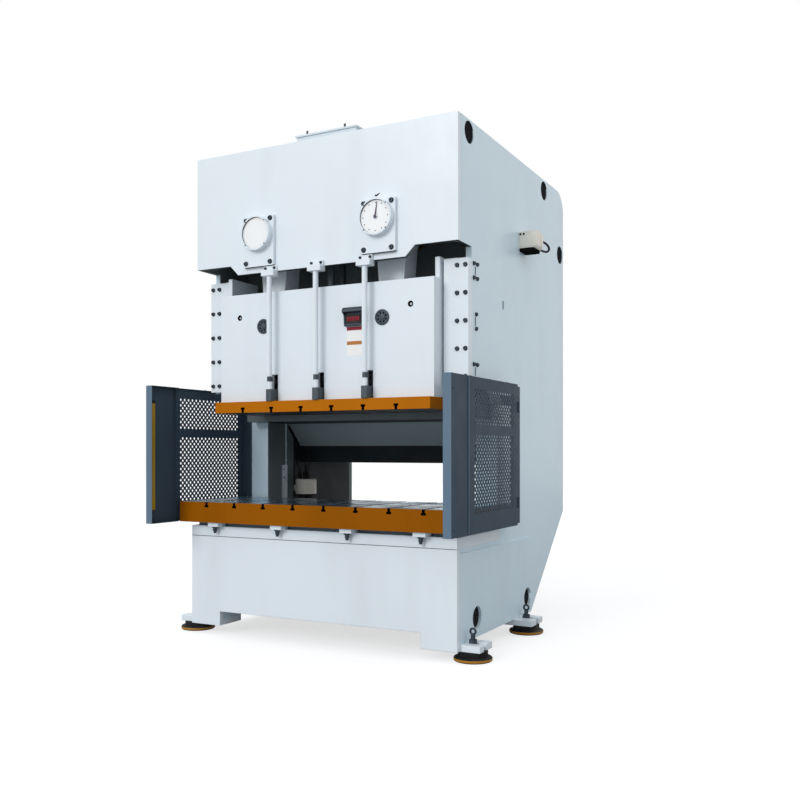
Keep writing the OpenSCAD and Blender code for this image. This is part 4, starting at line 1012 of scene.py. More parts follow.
@dataclass
class Throat:
    """Ceiling behind the slide and what hangs on the left inner wall."""

    scatter: Scatter
    slope_start: float = 0.675
    slope_end: float = 0.891
    beam_height: float = 0.168
    sheet: float = 0.040
    face_play: float = 0.01
    screen_start: float = 0.774
    screen_end: float = 0.05
    screen_gap: float = 0.002
    screen_thickness: float = 0.005
    screw_row: int = 5
    screw_margin: float = 0.03
    screw_pitch: tuple[float, float] = (0.15, 0.2)
    edge_strip_ends: tuple[float, float] = (0.685, 0.861)
    edge_strip_drop: float = 0.038
    edge_strip_thickness: float = 0.012
    bowl_height: float = 0.0985
    drum_height: float = 0.2535
    distributor: tuple[float, float] = (0.026, 0.0745)
    strip_face: float = 0.0205
    strip_height: float = 0.397
    pipe_radius: float = 0.0045
    pipe_ring: float = 0.076
    pipe_bend: float = 0.035
    pipe_spread: float = 0.02
    pipe_climb: float = 0.045
    outlet_inset: float = 0.108
    outlet_height: float = 0.305
    conduit_radius: float = 0.008
    conduit_place: tuple[float, float] = (0.011, 0.06)
    clip: tuple[float, float] = (1.35, 0.009)
    clip_inset: float = 0.05

    def build(self) -> None:
        """Dresses the ceiling, lays the painted shade sheet and the dark strip on the wall, and
        hangs the fittings.
        """
        self.web_low, self.web_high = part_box("throat_web")
        self.unit_low, self.unit_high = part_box("lubricator")
        self.ceiling()
        self.screen()
        self.seal()
        self.oil_unit()
        self.conduit()
        self.oil_pipes()

    def slope_height(self, y: float) -> float:
        """Gives the height of the slope's underside.

        Args:
            y: Depth in the frame.

        Returns:
            The height at that depth.
        """
        run = (y - self.web_low.y - self.slope_start) / (self.slope_end - self.slope_start)
        top = self.web_high.z - self.sheet
        bottom = self.web_low.z + self.beam_height
        return top + (bottom - top) * min(1.0, max(0.0, run))

    def ceiling(self) -> None:
        """Paints the slope lighter than the ceiling and the rear beam, as painted light on the
        slope and painted shade on the ceiling and the beam's front.
        """
        beam = self.web_low.y + self.slope_end
        ceiling = self.web_high.z - self.sheet

        def rule(normal: Vector, middle: Vector) -> int:
            """Tells the slope, in painted light, and the faces in painted shade from the rest."""
            if normal.z < -LEANING and normal.y < -LEANING:
                return 1
            flat = normal.z < -FLAT and middle.z > ceiling - self.face_play
            front = normal.y < -FLAT and abs(middle.y - beam) < self.face_play
            return 2 if flat or front else 0

        SoftenedPlate("throat_web", "frame", "inner_paint",
                      (Paint.INNER, Paint.BEAM, Paint.SCREEN), rule=rule).build()

    def wall_sheet(self, name: str, outline: Outline, thickness: float, paint: Paint) -> None:
        """Lays a thin sheet on the left inner wall.

        Args:
            name: Name of the new piece.
            outline: Corners in depth and height, in order.
            thickness: Thickness of the sheet.
            paint: Finish of the sheet.
        """
        form = bmesh.new()
        corners = [Vector((self.web_low.x, y, z)) for y, z in outline]
        prism(form, corners, Vector(), Vector((thickness, 0.0, 0.0)))
        hand_over(add_form(name, form, (paint,)), "frame", "inner_paint")

    def screen(self) -> None:
        """Lays a dark sheet of painted shade on the rear part of the wall, with screws on it."""
        low = self.web_low
        gap = self.screen_gap
        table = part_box("bed_table_plate")[1].z + gap
        start = low.y + self.screen_start
        beam = low.y + self.slope_end - gap
        end = self.web_high.y - self.screen_end
        drop = gap + SKIN
        # Dark sheet of painted shade where the wall lies in deep shade
        self.wall_sheet("wall_screen", [
            (start, table), (end, table), (end, low.z - gap), (beam, low.z - gap),
            (beam, self.slope_height(beam) - drop), (start, self.slope_height(start) - drop)
        ], self.screen_thickness, Paint.SCREEN)
        face = low.x + self.screen_thickness
        margin, (up, along) = self.screw_margin, self.screw_pitch
        foot = table + margin
        points = [Vector((face, start + margin, foot + i * up)) for i in range(self.screw_row)]
        points += [Vector((face, start + (i + 1) * along, foot)) for i in range(self.screw_row)]
        self.scatter.screw("screen_screws", CapScrew(0.007, 0.004), points, Facing.RIGHT, "frame")

    def seal(self) -> None:
        """Lays the dark strip along the slope's edge on the wall."""
        first, last = self.edge_strip_ends
        ends = (self.web_low.y + first, self.web_low.y + last)
        lower = [(y, self.slope_height(y) - self.edge_strip_drop) for y in ends]
        upper = [(y, self.slope_height(y) - self.screen_gap) for y in ends[::-1]]
        # A dark strip on the wall along the slope's lower edge
        self.wall_sheet("slope_seal", lower + upper, self.edge_strip_thickness, Paint.SHADE)

    def oil_unit(self) -> None:
        """Dresses the lubrication unit and the distributor beside it."""
        low = self.unit_low
        width, depth = self.distributor

        def rule(normal: Vector, middle: Vector) -> int:
            """Tells the distributor, its dots, the bowl and the fittings from the drum."""
            if middle.y < low.y + depth and middle.x < low.x + width:
                return 2 if middle.x > low.x + self.strip_face else 1
            return 0 if self.bowl_height <= middle.z - low.z <= self.drum_height else 2

        SoftenedPlate("lubricator", "frame", "cream_paint",
                      (Paint.CREAM, Paint.WHITE, Paint.BLACK), 0.002, rule).build()

    def conduit(self) -> None:
        """Runs a straight conduit from the distributor to the ceiling, with three clips."""
        foot = self.unit_low.z + self.strip_height
        top = self.web_high.z - self.sheet
        radius = self.conduit_radius
        wide, half = radius * self.clip[0], self.clip[1]
        profile = [(0.0, foot), (radius, foot)]
        for z in (foot + self.clip_inset, (foot + top) / 2, top - self.clip_inset):
            profile += [(radius, z - half), (wide, z - half), (wide, z + half), (radius, z + half)]
        profile += [(radius, top), (0.0, top)]
        form = bmesh.new()
        across, deep = self.conduit_place
        place = Matrix.Translation((self.unit_low.x + across, self.unit_low.y + deep, 0.0))
        lathe(form, profile, 20, place)
        hand_over(add_form("wall_conduit", form, (Paint.SIDE,)), "frame", "side_paint")

    def oil_pipes(self) -> None:
        """Bends a thin pipe from each outlet of the lubrication unit to the wall."""
        low, high = self.unit_low, self.unit_high
        side = self.outlet_inset
        middle = Vector((high.x - side, high.y - side, low.z + self.outlet_height))
        form = bmesh.new()
        for number, degrees in enumerate(range(190, 330, 34)):
            angle = math.radians(degrees)
            start = middle + Vector((math.cos(angle), math.sin(angle), 0.0)) * self.pipe_ring
            bend = start + Vector((0.0, 0.0, 2 * self.pipe_bend + self.pipe_bend * number))
            end = Vector((low.x + self.screen_thickness, bend.y + self.pipe_spread * number,
                          bend.z + self.pipe_climb))
            sweep(form, rounded_path([start, bend, end], self.pipe_bend), self.pipe_radius, 10)
        hand_over(add_form("oil_pipes", form, (Paint.BLACK,)), "frame", "plug_plastic")


@dataclass
class Tooling:
    """Bolster, its clamps and the slide plate, with milled faces."""

    foot_depth: float = 0.17
    bolster_end: float = 1.34
    slide_rim: float = 0.01

    def build(self) -> None:
        """Dresses the orange plates and their machined faces."""
        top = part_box("bolster")[1].z
        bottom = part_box("slide_plate")[0].z
        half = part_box("slide_plate")[1].x

        def bolster_rule(normal: Vector, middle: Vector) -> int:
            """Tells the milled table, the slots' walls in painted shade and the foot from the
            paint.
            """
            if normal.z > FLAT and middle.z > top - SKIN:
                return 1
            if middle.z < top - self.foot_depth:
                return 3
            front = abs(normal.y) > FLAT or abs(middle.x) > self.bolster_end
            return 0 if front or normal.z < -FLAT else 2

        def plate_rule(normal: Vector, middle: Vector) -> int:
            """Tells the underside, near black as painted shade, and the slots' walls, in painted
            shade, from the paint.
            """
            if normal.z < -FLAT and middle.z < bottom + SKIN:
                return 1
            outside = (abs(normal.y) > FLAT or normal.z > FLAT
                       or abs(middle.x) > half - self.slide_rim)
            return 0 if outside else 2

        SoftenedPlate("bolster", "frame", "orange_paint",
                      (Paint.OCHRE, Paint.TABLE, Paint.SHADE, Paint.RECESS), 0.002,
                      bolster_rule).build()
        SoftenedPlate("slide_plate", "slide", "orange_paint",
                      (Paint.ORANGE, Paint.DECK, Paint.SHADE), 0.002, plate_rule).build()
        SoftenedPlate("bolster_clamps", "frame", "white_paint", (Paint.WHITE,)).build()


@dataclass
class SlideDress:
    """The slide's body, its vents, the counter and the plain fields below it."""

    field_edge: float = 0.0006
    field_drop: float = 0.003
    field_sides: tuple[float, float] = (0.014, 0.004)
    hole_reach: float = 0.030
    hole_depth: float = 0.045
    holes: tuple[tuple[float, float], ...] = ((-0.840, 2.772), (0.840, 2.772))
    stud: Outline = ((0, 0.0), (0.011, 0.0), (0.011, 0.034), (0.009, 0.037), (0, 0.037))
    vent: Outline = ((0, 0.0), (1.0, 0.0), (1.0, 0.5), (0.97, 0.58), (0.84, 0.58), (0.8, 0.3),
                     (0.36, 0.3), (0.34, 0.62), (0.2, 0.7), (0, 0.7))
    vent_holes: int = 8
    vent_hole: float = 0.13
    vent_ring: float = 0.58
    vent_face: float = 0.3
    window_inset: float = 0.018
    window_back: float = 0.0215
    window_depth: float = 0.004
    window_heights: tuple[float, float] = (0.022, 0.092)
    wheels: int = 5
    wheel_heights: tuple[float, float] = (0.04, 0.076)
    wheel_margin: float = 0.015
    wheel_share: float = 0.8
    bands: tuple[tuple[float, int], ...] = ((0.030, 0), (0.088, 1), (0.030, 2), (0.088, 1))
    bar_height: float = 0.1
    head_height: float = 0.042

    def build(self) -> None:
        """Dresses the slide."""
        self.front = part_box("slide_body")[0].y

        def body_rule(normal: Vector, middle: Vector) -> int:
            """Paints the walls of the small round holes dark, as painted shade."""
            near = any(math.hypot(middle.x - x, middle.z - z) < self.hole_reach
                       for x, z in self.holes)
            deep = self.front + SKIN < middle.y < self.front + self.hole_depth
            return 1 if near and deep else 0

        SoftenedPlate("slide_body", "slide", "white_paint", (Paint.WHITE, Paint.SHADE),
                      rule=body_rule).build()
        SoftenedPlate("counter_hood", "slide", "dark_steel", (Paint.SCREW,), 0.004,
                      segments=3).build()
        form = bmesh.new()
        for x, z in self.holes:
            spot = Vector((x, self.front + self.hole_depth + SKIN, z))
            lathe(form, self.stud, 20, Facing.FRONT.at(spot))
        hand_over(add_form("hole_studs", form, (Paint.WAYS,)), "slide", "bare_steel")
        self.vents()
        self.counter()
        self.fields()
        for side in ("left", "middle", "right"):
            self.knockout_bar(side)

    def vents(self) -> None:
        """Makes the round vents with their rims and hubs, and their holes as dark discs of painted
        shade.
        """
        form = bmesh.new()
        for low, high in loose_boxes("slide_vents"):
            middle = (low + high) / 2
            place = Facing.FRONT.at(Vector((middle.x, high.y, middle.z)))
            radius = (high.x - low.x) / 2
            deep = high.y - low.y
            lathe(form, [(r * radius, h * deep) for r, h in self.vent], 48, place)
            reach = radius * self.vent_hole
            for x, y in turns(self.vent_holes, math.pi / self.vent_holes):
                across = radius * self.vent_ring
                spot = Vector((x * across, y * across, deep * self.vent_face))
                hole = place @ Matrix.Translation(spot)
                # Each hole is a flat dark disc of painted shade on the vent's face
                for face in lathe(form, disc(reach, 0.0004), 16, hole):
                    face.material_index = 1
        piece = add_form("slide_vent_covers", form, (Paint.SCREW, Paint.SHADE))
        hand_over(piece, "slide", "dark_steel", "slide_vents")

    def counter(self) -> None:
        """Makes the counter's window and its plain number wheels under the hood."""
        low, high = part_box("counter_hood")
        form = bmesh.new()
        left, right = low.x + self.window_inset, high.x - self.window_inset
        back = high.y - self.window_back
        front = back - self.window_depth
        foot, top = (low.z + z for z in self.window_heights)
        add_block(form, Vector((left, front, foot)), Vector((right, back, top)), 0, 0.001)
        foot, top = (low.z + z for z in self.wheel_heights)
        step = (right - left - 2 * self.wheel_margin) / self.wheels
        for i in range(self.wheels):
            x = left + self.wheel_margin + i * step
            add_block(form, Vector((x, front - self.window_depth, foot)),
                      Vector((x + step * self.wheel_share, front, top)), 1, 0.0015)
        hand_over(add_form("height_counter", form, (Paint.BLACK, Paint.RED)), "slide", "dark_steel")

    def fields(self) -> None:
        """Lays plain colour fields on the slide below the counter."""
        low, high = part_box("counter_hood")
        left, right = (x + shift for x, shift in zip((low.x, high.x), self.field_sides))
        top = low.z - self.field_drop
        form = bmesh.new()
        for height, index in self.bands:
            add_block(form, Vector((left, self.front - self.field_edge, top - height)),
                      Vector((right, self.front, top - SKIN)), index)
            top -= height
        piece = add_form("plain_fields", form, (Paint.RED, Paint.LABEL, Paint.AMBER))
        hand_over(piece, "slide", "white_paint")

    def knockout_bar(self, side: str) -> None:
        """Dresses one knockout bar: dark bar, bright neck and dark screw head.

        Args:
            side: Which of the three bars.
        """
        node = f"knockout_bar_{side}"
        low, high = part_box(node)
        neck = (low.z + self.bar_height + SKIN, high.z - self.head_height - SKIN)

        def rule(normal: Vector, middle: Vector) -> int:
            """Tells the neck from the bar and the head."""
            return 1 if neck[0] < middle.z < neck[1] else 0

        SoftenedPlate(node, f"knockout_{side}", "bare_steel", (Paint.BAR, Paint.WHITE), 0.002,
                      rule).build()


@dataclass
class Guards:
    """Folded sheet guards with perforation and light curtains."""

    scatter: Scatter
    post_inset: float = 0.081
    notch_pitch: float = 0.035
    notch_radius: float = 0.006
    notch_inset: float = 0.04
    notch_depth: float = 0.018
    rim_screws: tuple[float, ...] = (0.375, 0.76, 1.12)
    rim_inset: float = 0.025
    fold_in: float = 0.300
    fold_width: float = 0.007
    fold_rise: float = 0.009
    fold_inset: float = 0.012
    rivets: tuple[float, float] = (0.06, 0.11)
    rivet_depth: float = 0.035
    cap_height: float = 0.0265
    strip_depth: float = 0.002

    def build(self) -> None:
        """Dresses both guards."""
        self.notches()
        for side in SIDES:
            self.top_screws(side)
        for side in SIDES:
            self.fold(side)
        for side in SIDES:
            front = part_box(f"guard_frame_{side}")[0].y
            low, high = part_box(f"light_curtain_{side}")
            ends = (low.z + self.cap_height, high.z - self.cap_height)

            def rule(normal: Vector, middle: Vector, edge: float = front) -> int:
                """Gives the front strip its lighter enamel."""
                return 1 if normal.y < -FLAT and middle.y < edge + self.strip_depth else 0

            def curtain_rule(normal: Vector, middle: Vector,
                             bar: tuple[float, float] = ends) -> int:
                """Tells the curtain's black end caps from the bar."""
                return 0 if bar[0] <= middle.z <= bar[1] else 1

            SoftenedPlate(f"guard_frame_{side}", f"guard_{side}", "guard_paint",
                          (Paint.GUARD, Paint.GUARD_EDGE), 0.0009, rule, joins_flats=False).build()
            SoftenedPlate(f"light_curtain_{side}", f"guard_{side}", "curtain_yellow",
                          (Paint.YELLOW, Paint.BLACK), 0.002, curtain_rule).build()

    def notches(self) -> None:
        """Sets a close row of studs on the inner edge of each post."""
        low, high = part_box("guard_posts")
        start = low.z + self.notch_inset
        count = int((high.z - low.z - 2 * self.notch_inset) / self.notch_pitch)
        r = self.notch_radius
        for side, x, facing in (("left", low.x + self.post_inset, Facing.RIGHT),
                                ("right", high.x - self.post_inset, Facing.LEFT)):
            stud = bmesh.new()
            lathe(stud, [(0, -0.002), (r, -0.002), (r, r * 0.4), (r * 0.7, r * 0.85), (0, r)], 12)
            points = [Vector((x, low.y + self.notch_depth, start + i * self.notch_pitch))
                      for i in range(count)]
            piece = self.scatter.run(f"post_studs_{side}", add_form("stud", stud), points, facing,
                                     Paint.GUARD)
            hand_over(piece, "frame", "guard_paint")

    def top_screws(self, side: str) -> None:
        """Sets three screws on a guard's upper fold.

        Args:
            side: Left or right guard.
        """
        low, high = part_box(f"guard_frame_{side}")
        x = low.x + self.rim_inset if side == "left" else high.x - self.rim_inset
        points = [Vector((x, low.y + y, high.z)) for y in self.rim_screws]
        self.scatter.screw(f"guard_top_screws_{side}", CapScrew(0.0065, 0.005), points, Facing.UP,
                           f"guard_{side}")

    def fold(self, side: str) -> None:
        """Sets the fold beside the perforated field, painted pale as a painted highlight on its
        step, and two rivets near the front edge.

        Args:
            side: Left or right guard.
        """
        low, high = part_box(f"guard_frame_{side}")
        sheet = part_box(f"guard_mesh_{side}")
        sign, face = (-1.0, sheet[0].x) if side == "left" else (1.0, sheet[1].x)
        ends = sorted((face - sign * SKIN, face + sign * self.fold_rise))
        start = low.y + self.fold_in
        form = bmesh.new()
        add_block(form, Vector((ends[0], start, low.z + self.fold_inset)),
                  Vector((ends[1], start + self.fold_width, high.z - self.fold_inset)), 0, 0.0015)
        # The fold is painted lighter than the guard, as a painted highlight on the step's edge
        piece = add_form(f"guard_fold_{side}", form, (Paint.GUARD_EDGE,))
        hand_over(piece, f"guard_{side}", "guard_paint")
        foot, top = self.rivets
        points = [Vector((face, low.y + self.rivet_depth, z)) for z in (low.z + foot, high.z - top)]
        facing = Facing.LEFT if side == "left" else Facing.RIGHT
        self.scatter.screw(f"guard_rivets_{side}", CapScrew(0.007, 0.004), points, facing,
                           f"guard_{side}")


@dataclass
class Fasteners:
    """Every visible screw head, set on the places of the plain ones."""

    scatter: Scatter
    counterbore: float = 1.27
    rim_height: float = 0.0006
    side_head: float = 0.015
    even: float = 0.004
    key_height: float = 0.006

    def build(self) -> None:
        """Makes the screw heads."""
        self.gib_screws()
        self.frame_screws()

    def rims(self, name: str, radius: float, points: list[Vector], facing: Facing) -> None:
        """Sets a thin dark ring of painted shade around each screw, where a counterbore's gap lies
        in shade.

        Args:
            name: Name of the new piece.
            radius: Radius of the screws' heads.
            points: Places of the screws.
            facing: Side that the screws face.
        """
        rim = disc_shape("rim", radius * self.counterbore, self.rim_height, 28)
        # The dark rings are painted shade around the heads
        piece = self.scatter.run(name, rim, points, facing, Paint.SHADE)
        hand_over(piece, "frame", "dark_steel")

    def gib_screws(self) -> None:
        """Sets socket screws on the gib plates."""
        boxes = loose_boxes("gib_bolts")
        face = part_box("gib_plates")[0].y
        low, high = boxes[0]
        head = CapScrew((high.x - low.x) / 2, face - low.y)
        points = [Vector(((a.x + b.x) / 2, face, (a.z + b.z) / 2)) for a, b in boxes]
        self.scatter.screw("gib_screw_heads", head, points, Facing.FRONT, "frame", "gib_bolts")
        self.rims("gib_screw_rims", head.radius, points, Facing.FRONT)

    def frame_screws(self) -> None:
        """Sets the screws of the side plates, the dials and the brackets."""
        groups: dict[str, tuple[CapScrew, list[Vector], Facing]] = {}
        for facing in (Facing.LEFT, Facing.RIGHT):
            head = CapScrew(self.side_head, self.side_head)
            groups[f"side_{{}}_{facing.name.lower()}"] = (head, [], facing)
        left, right = (group[1] for group in groups.values())
        keys = bmesh.new()
        for low, high in loose_boxes("frame_bolts"):
            size = high - low
            middle = (low + high) / 2
            if abs(size.y - size.z) > self.even and size.x < self.key_height:
                add_block(keys, low, high, 0, 0.0015)
            elif size.x < size.y - self.even:
                side, x = (right, low.x) if middle.x > 0 else (left, high.x)
                side.append(Vector((x, middle.y, middle.z)))
            else:
                name = f"front_{{}}_{round(size.x * 500)}"
                points = groups[name][1] if name in groups else []
                points.append(Vector((middle.x, high.y, middle.z)))
                groups[name] = (CapScrew(size.x / 2, size.y), points, Facing.FRONT)
        nodes = ("frame_bolts",)
        for name, (head, points, facing) in groups.items():
            self.scatter.screw(name.format("screws"), head, points, facing, "frame", *nodes)
            self.rims(name.format("rims"), head.radius, points, facing)
            nodes = ()
        hand_over(add_form("side_keys", keys, (Paint.SCREW,)), "frame", "dark_steel")


@dataclass
class Dials:
    """Shaft covers on the crown, with the crank angle dial."""

    scatter: Scatter
    recess: float = 0.014
    marks: int = 12
    mark: float = 0.0048
    mark_ring: float = 0.112
    screw_ring: float = 0.140
    rim_ring: float = 0.16
    face_play: float = 0.002
    inward: float = 0.1
    shaded_inside: float = 0.35
    shaded_outside: float = 0.7
    plate: float = 0.020
    hole: float = 0.0045
    dot_height: float = 0.0005
    hole_place: tuple[float, float] = (0.134, 0.088)
    arrow: Outline = ((0.541, 3.646), (0.563, 3.643), (0.558, 3.650), (0.592, 3.664),
                      (0.590, 3.670), (0.556, 3.656), (0.552, 3.663))

    def build(self) -> None:
        """Dresses the covers and draws the dial."""
        low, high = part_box("dial_housing")
        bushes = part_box("bearing_bushes")
        centre = Vector(((low.x + high.x) / 2, low.y + self.recess,
                         (bushes[0].z + bushes[1].z) / 2))
        for node, side in (("shaft_cover_left", -1.0), ("dial_housing", 1.0)):
            def rule(normal: Vector, middle: Vector, sign: float = side) -> int:
                """Tells the sunk face from the housing, and gives painted shade to the rim's inner
                wall, darkest at the top, and to the undersides outside the rim.
                """
                arm = Vector((middle.x - centre.x * sign, 0.0, middle.z - centre.z))
                if normal.y < -FLAT:
                    return 1 if abs(middle.y - centre.y) < self.face_play else 0
                inward = normal.dot(arm) < -self.inward * arm.length
                if inward and arm.length < self.screw_ring:
                    return 3 if normal.z < -self.shaded_inside else 2
                below = normal.z < -self.shaded_outside and arm.length > self.rim_ring
                return 3 if below else 0

            SoftenedPlate(node, "frame", "white_paint",
                          (Paint.WHITE, Paint.DIAL, Paint.RECESS, Paint.SCREEN), 0.0025,
                          rule).build()
        marks = circle(centre, self.mark_ring, self.marks, math.pi / 2, -1.0)
        self.dots("dial_marks", self.mark, 16, marks, Paint.BLACK)
        screws = []
        for x in (centre.x, -centre.x):
            rim = Vector((x, centre.y - self.recess, centre.z))
            screws += circle(rim, self.screw_ring, 4, math.pi / 4, -1.0)
        self.scatter.screw("drum_screws", CapScrew(0.0055, 0.003), screws, Facing.FRONT, "frame")
        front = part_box("crown_front_plate")[0].y
        across, up = self.hole_place
        holes = [Vector((x + across, front - self.plate, centre.z + up))
                 for x in (-centre.x, centre.x)]
        # The cover's holes are flat dark discs of painted shade
        self.dots("cover_holes", self.hole, 14, holes, Paint.SHADE)
        form = bmesh.new()
        prism(form, [Vector((x, front, z)) for x, z in self.arrow], Vector((0.0, 0.001, 0.0)),
              Vector((0.0, -0.0006, 0.0)))
        bmesh.ops.triangulate(form, faces=form.faces)
        hand_over(add_form("direction_arrow", form, (Paint.BLACK,)), "frame", "dark_steel")

    def dots(self, name: str, radius: float, sides: int, points: list[Vector],
             paint: Paint) -> None:
        """Sets thin round dots on points of the front.

        Args:
            name: Name of the new piece.
            radius: Radius of a dot.
            sides: Number of faces around a dot.
            points: Places of the dots.
            paint: Finish of the dots.
        """
        dot = disc_shape("dot", radius, self.dot_height, sides)
        hand_over(self.scatter.run(name, dot, points, Facing.FRONT, paint), "frame", "dark_steel")


@dataclass
class Drive:
    """Drive as the open rear shows it: wheels, disc screws, motor fins and weld seams."""

    scatter: Scatter
    fins: int = 36
    fin: tuple[float, float, float] = (0.013, 0.440, 0.004)
    fin_middle: float = 0.260
    fin_rise: float = 0.4
    flange_rim: float = 0.045
    box_rise: float = 0.8
    seam: float = 0.007
    seam_steps: int = 48
    seam_rise: float = 0.35
    discs: tuple[tuple[str, float, float, int], ...] = (
        ("clutch_screws", 0.145, 0.030, 12), ("brake_screws", 0.040, 0.140, 6))
    flange_screws: int = 8
    flange_inset: float = 0.022
    bore_reach: float = 0.078
    bore_play: float = 0.0006

    def build(self) -> None:
        """Dresses the drive."""
        casting = (Paint.CASTING,)
        wheel = SoftenedPlate("flywheel", "flywheel", "dark_steel", casting, 0.004).build()
        self.clear_bore(wheel)
        SoftenedPlate("motor_pulley", "motor_pulley", "dark_steel", casting, 0.0015).build()
        self.disc_screws()
        self.motor()
        self.seams()

    def clear_bore(self, wheel: bpy.types.Object) -> None:
        """Widens the bore's flat facets, so that they pass the shaft's while the wheel turns.

        Args:
            wheel: The dressed flywheel.
        """
        low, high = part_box("flywheel")
        middle = (low + high) / 2
        for vert in wheel.data.vertices:
            arm = Vector((vert.co.x - middle.x, 0.0, vert.co.z - middle.z))
            if arm.length < self.bore_reach:
                vert.co += arm.normalized() * self.bore_play

    def disc_screws(self) -> None:
        """Screws the clutch disc and the brake drum."""
        low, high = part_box("pinion_shaft")
        middle = (low + high) / 2
        reach = (high.x - low.x) / 2
        for name, inset, rim, count in self.discs:
            spot = Vector((middle.x, high.y - inset, middle.z))
            points = circle(spot, reach - rim, count, math.pi / count)
            self.scatter.screw(name, CapScrew(0.014, 0.012), points, Facing.BACK, "pinion")

    def motor(self) -> None:
        """Screws the motor's flange to its plate and sets fins around, except at the box."""
        low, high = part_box("motor")
        front, back = (corner.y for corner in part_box("drive_support_plate"))
        flange = (high.x - low.x) / 2
        middle = Vector(((low.x + high.x) / 2, 0.0, low.z + flange))
        count = self.flange_screws
        points = circle(middle + Vector((0.0, back, 0.0)), flange - self.flange_inset, count,
                        math.pi / count)
        self.scatter.screw("motor_flange_screws", HexHead(0.015, 0.014), points, Facing.BACK,
                           "frame")
        rise = self.fin[0] * self.fin_rise - self.flange_rim
        root = Vector((flange + rise, front - self.fin_middle, 0.0))
        form = bmesh.new()
        for i in range(self.fins):
            angle = math.pi / 2 + math.tau * (i + 0.5) / self.fins
            if math.sin(angle) <= self.box_rise:
                place = Matrix.Translation(middle) @ Matrix.Rotation(-angle, 4, "Y")
                place @= Matrix.LocRotScale(root, None, Vector(self.fin))
                bmesh.ops.create_cube(form, size=1.0, matrix=place)
        hand_over(add_form("motor_fins", form, (Paint.MOTOR,)), "frame", "side_paint")

    def seams(self) -> None:
        """Lays weld seams where the drive support plate meets its neighbours."""
        low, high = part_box("drive_support_plate")
        sink = self.seam * self.seam_rise
        left, foot, right, top = low.x + sink, low.z + sink, high.x - sink, high.z - sink
        form = bmesh.new()
        for ends in (((left, foot), (left, top)), ((right, foot), (right, top)),
                     ((left, foot), (right, foot)), ((left, top), (right, top))):
            start, end = (Vector((x, high.y + sink, z)) for x, z in ends)
            path = [start.lerp(end, i / self.seam_steps) for i in range(self.seam_steps + 1)]
            sweep(form, path, self.seam, 8)
        hand_over(add_form("rear_seams", form, (Paint.INNER,)), "frame", "inner_paint")


@dataclass
class BeltSet:
    """V-belts around the motor pulley and the flywheel, made as separate belts."""

    belts: int = 5
    gap: float = 0.005
    thickness: float = 0.014
    clearance: float = 0.0004
    flange: float = 0.010
    steps: tuple[int, int] = (96, 32)
    section: Outline = ((0.22, 0.0), (0.78, 0.0), (1.0, 0.7), (1.0, 0.94), (0.95, 1.0), (0.05, 1.0),
                        (0.0, 0.94), (0.0, 0.7))

    def build(self) -> None:
        """Sweeps each belt's section around both rims."""
        low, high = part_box("v_belts")
        (far, far_radius), (near, near_radius) = self.rim("flywheel"), self.rim("motor_pulley")
        near_radius -= self.flange
        lean = math.atan2(far.z - near.z, far.x - near.x)
        turn = math.pi - math.acos((far_radius - near_radius) / (far - near).length)
        stations = []
        wide, narrow = self.steps
        for middle, radius, start, end, steps in (
                (far, far_radius, -turn, turn, wide),
                (near, near_radius, turn, math.tau - turn, narrow)):
            for i in range(steps + 1):
                angle = lean + start + (end - start) * i / steps
                out = Vector((math.cos(angle), 0, math.sin(angle)))
                stations.append((middle + out * (radius + self.clearance), out * self.thickness))
        width = (high.y - low.y - self.gap * (self.belts - 1)) / self.belts
        form = bmesh.new()
        for k in range(self.belts):
            y = low.y + k * (width + self.gap)
            rings = [[form.verts.new(point + out * reach + Vector((0, y + width * across, 0)))
                      for across, reach in self.section] for point, out in stations]
            join_rings(form, rings, looped=True)
        hand_over(add_form("belt_set", form, (Paint.BLACK,)), "frame", "belt_rubber", "v_belts")

    def rim(self, node: str) -> tuple[Vector, float]:
        """Gives the middle and the radius of a wheel."""
        low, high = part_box(node)
        return Vector(((low.x + high.x) / 2, 0, (low.z + high.z) / 2)), (high.x - low.x) / 2


@dataclass
class HeldCable:
    """Cable that loops out of the junction box and back into it."""

    diameter: float = 0.020
    route: tuple[tuple[float, float, float], ...] = (
        (0.133, 0, 0.122), (0.134, 0.029, 0.124), (0.137, 0.069, 0.126), (0.143, 0.111, 0.124),
        (0.149, 0.151, 0.116), (0.153, 0.181, 0.102), (0.154, 0.192, 0.086), (0.152, 0.187, 0.068),
        (0.147, 0.163, 0.054), (0.140, 0.129, 0.047), (0.134, 0.089, 0.045), (0.129, 0.049, 0.046),
        (0.127, 0.019, 0.047), (0.127, 0, 0.047))
    gland: Outline = ((0, 0), (0.017, 0), (0.017, 0.008), (0.0145, 0.012), (0.0135, 0.026),
                      (0.0108, 0.032), (0, 0.032))

    def build(self) -> None:
        """Makes the cable and its strain reliefs."""
        low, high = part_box("junction_box")
        mouth = Vector((low.x, high.y, low.z))
        points = [mouth + Vector(p) for p in self.route]
        name = "junction_cable_sheath"
        curve = bpy.data.curves.new(name, "CURVE")
        curve.dimensions = "3D"
        spline = curve.splines.new("NURBS")
        spline.points.add(len(points) - 1)
        for target, point in zip(spline.points, points):
            target.co = (*point, 1.0)
        spline.order_u = 4
        spline.use_endpoint_u = True
        spline.resolution_u = 6
        curve.bevel_depth = self.diameter / 2
        curve.bevel_resolution = 5
        curve.use_fill_caps = True
        curve.materials.append(Paint.CABLE.material())
        drawn = add_object(name, curve)
        mesh = plain_mesh(drawn)
        bpy.data.objects.remove(drawn)
        mesh.name = name
        piece = add_object(name, mesh)
        smooth_by_angle(piece, 40.0)
        hand_over(piece, "frame", "cable_sheath", "junction_cable")
        form = bmesh.new()
        for point in (points[0], points[-1]):
            lathe(form, self.gland, 24, Facing.BACK.at(point))
        hand_over(add_form("cable_glands", form, (Paint.BLACK,)), "frame", "plug_plastic")


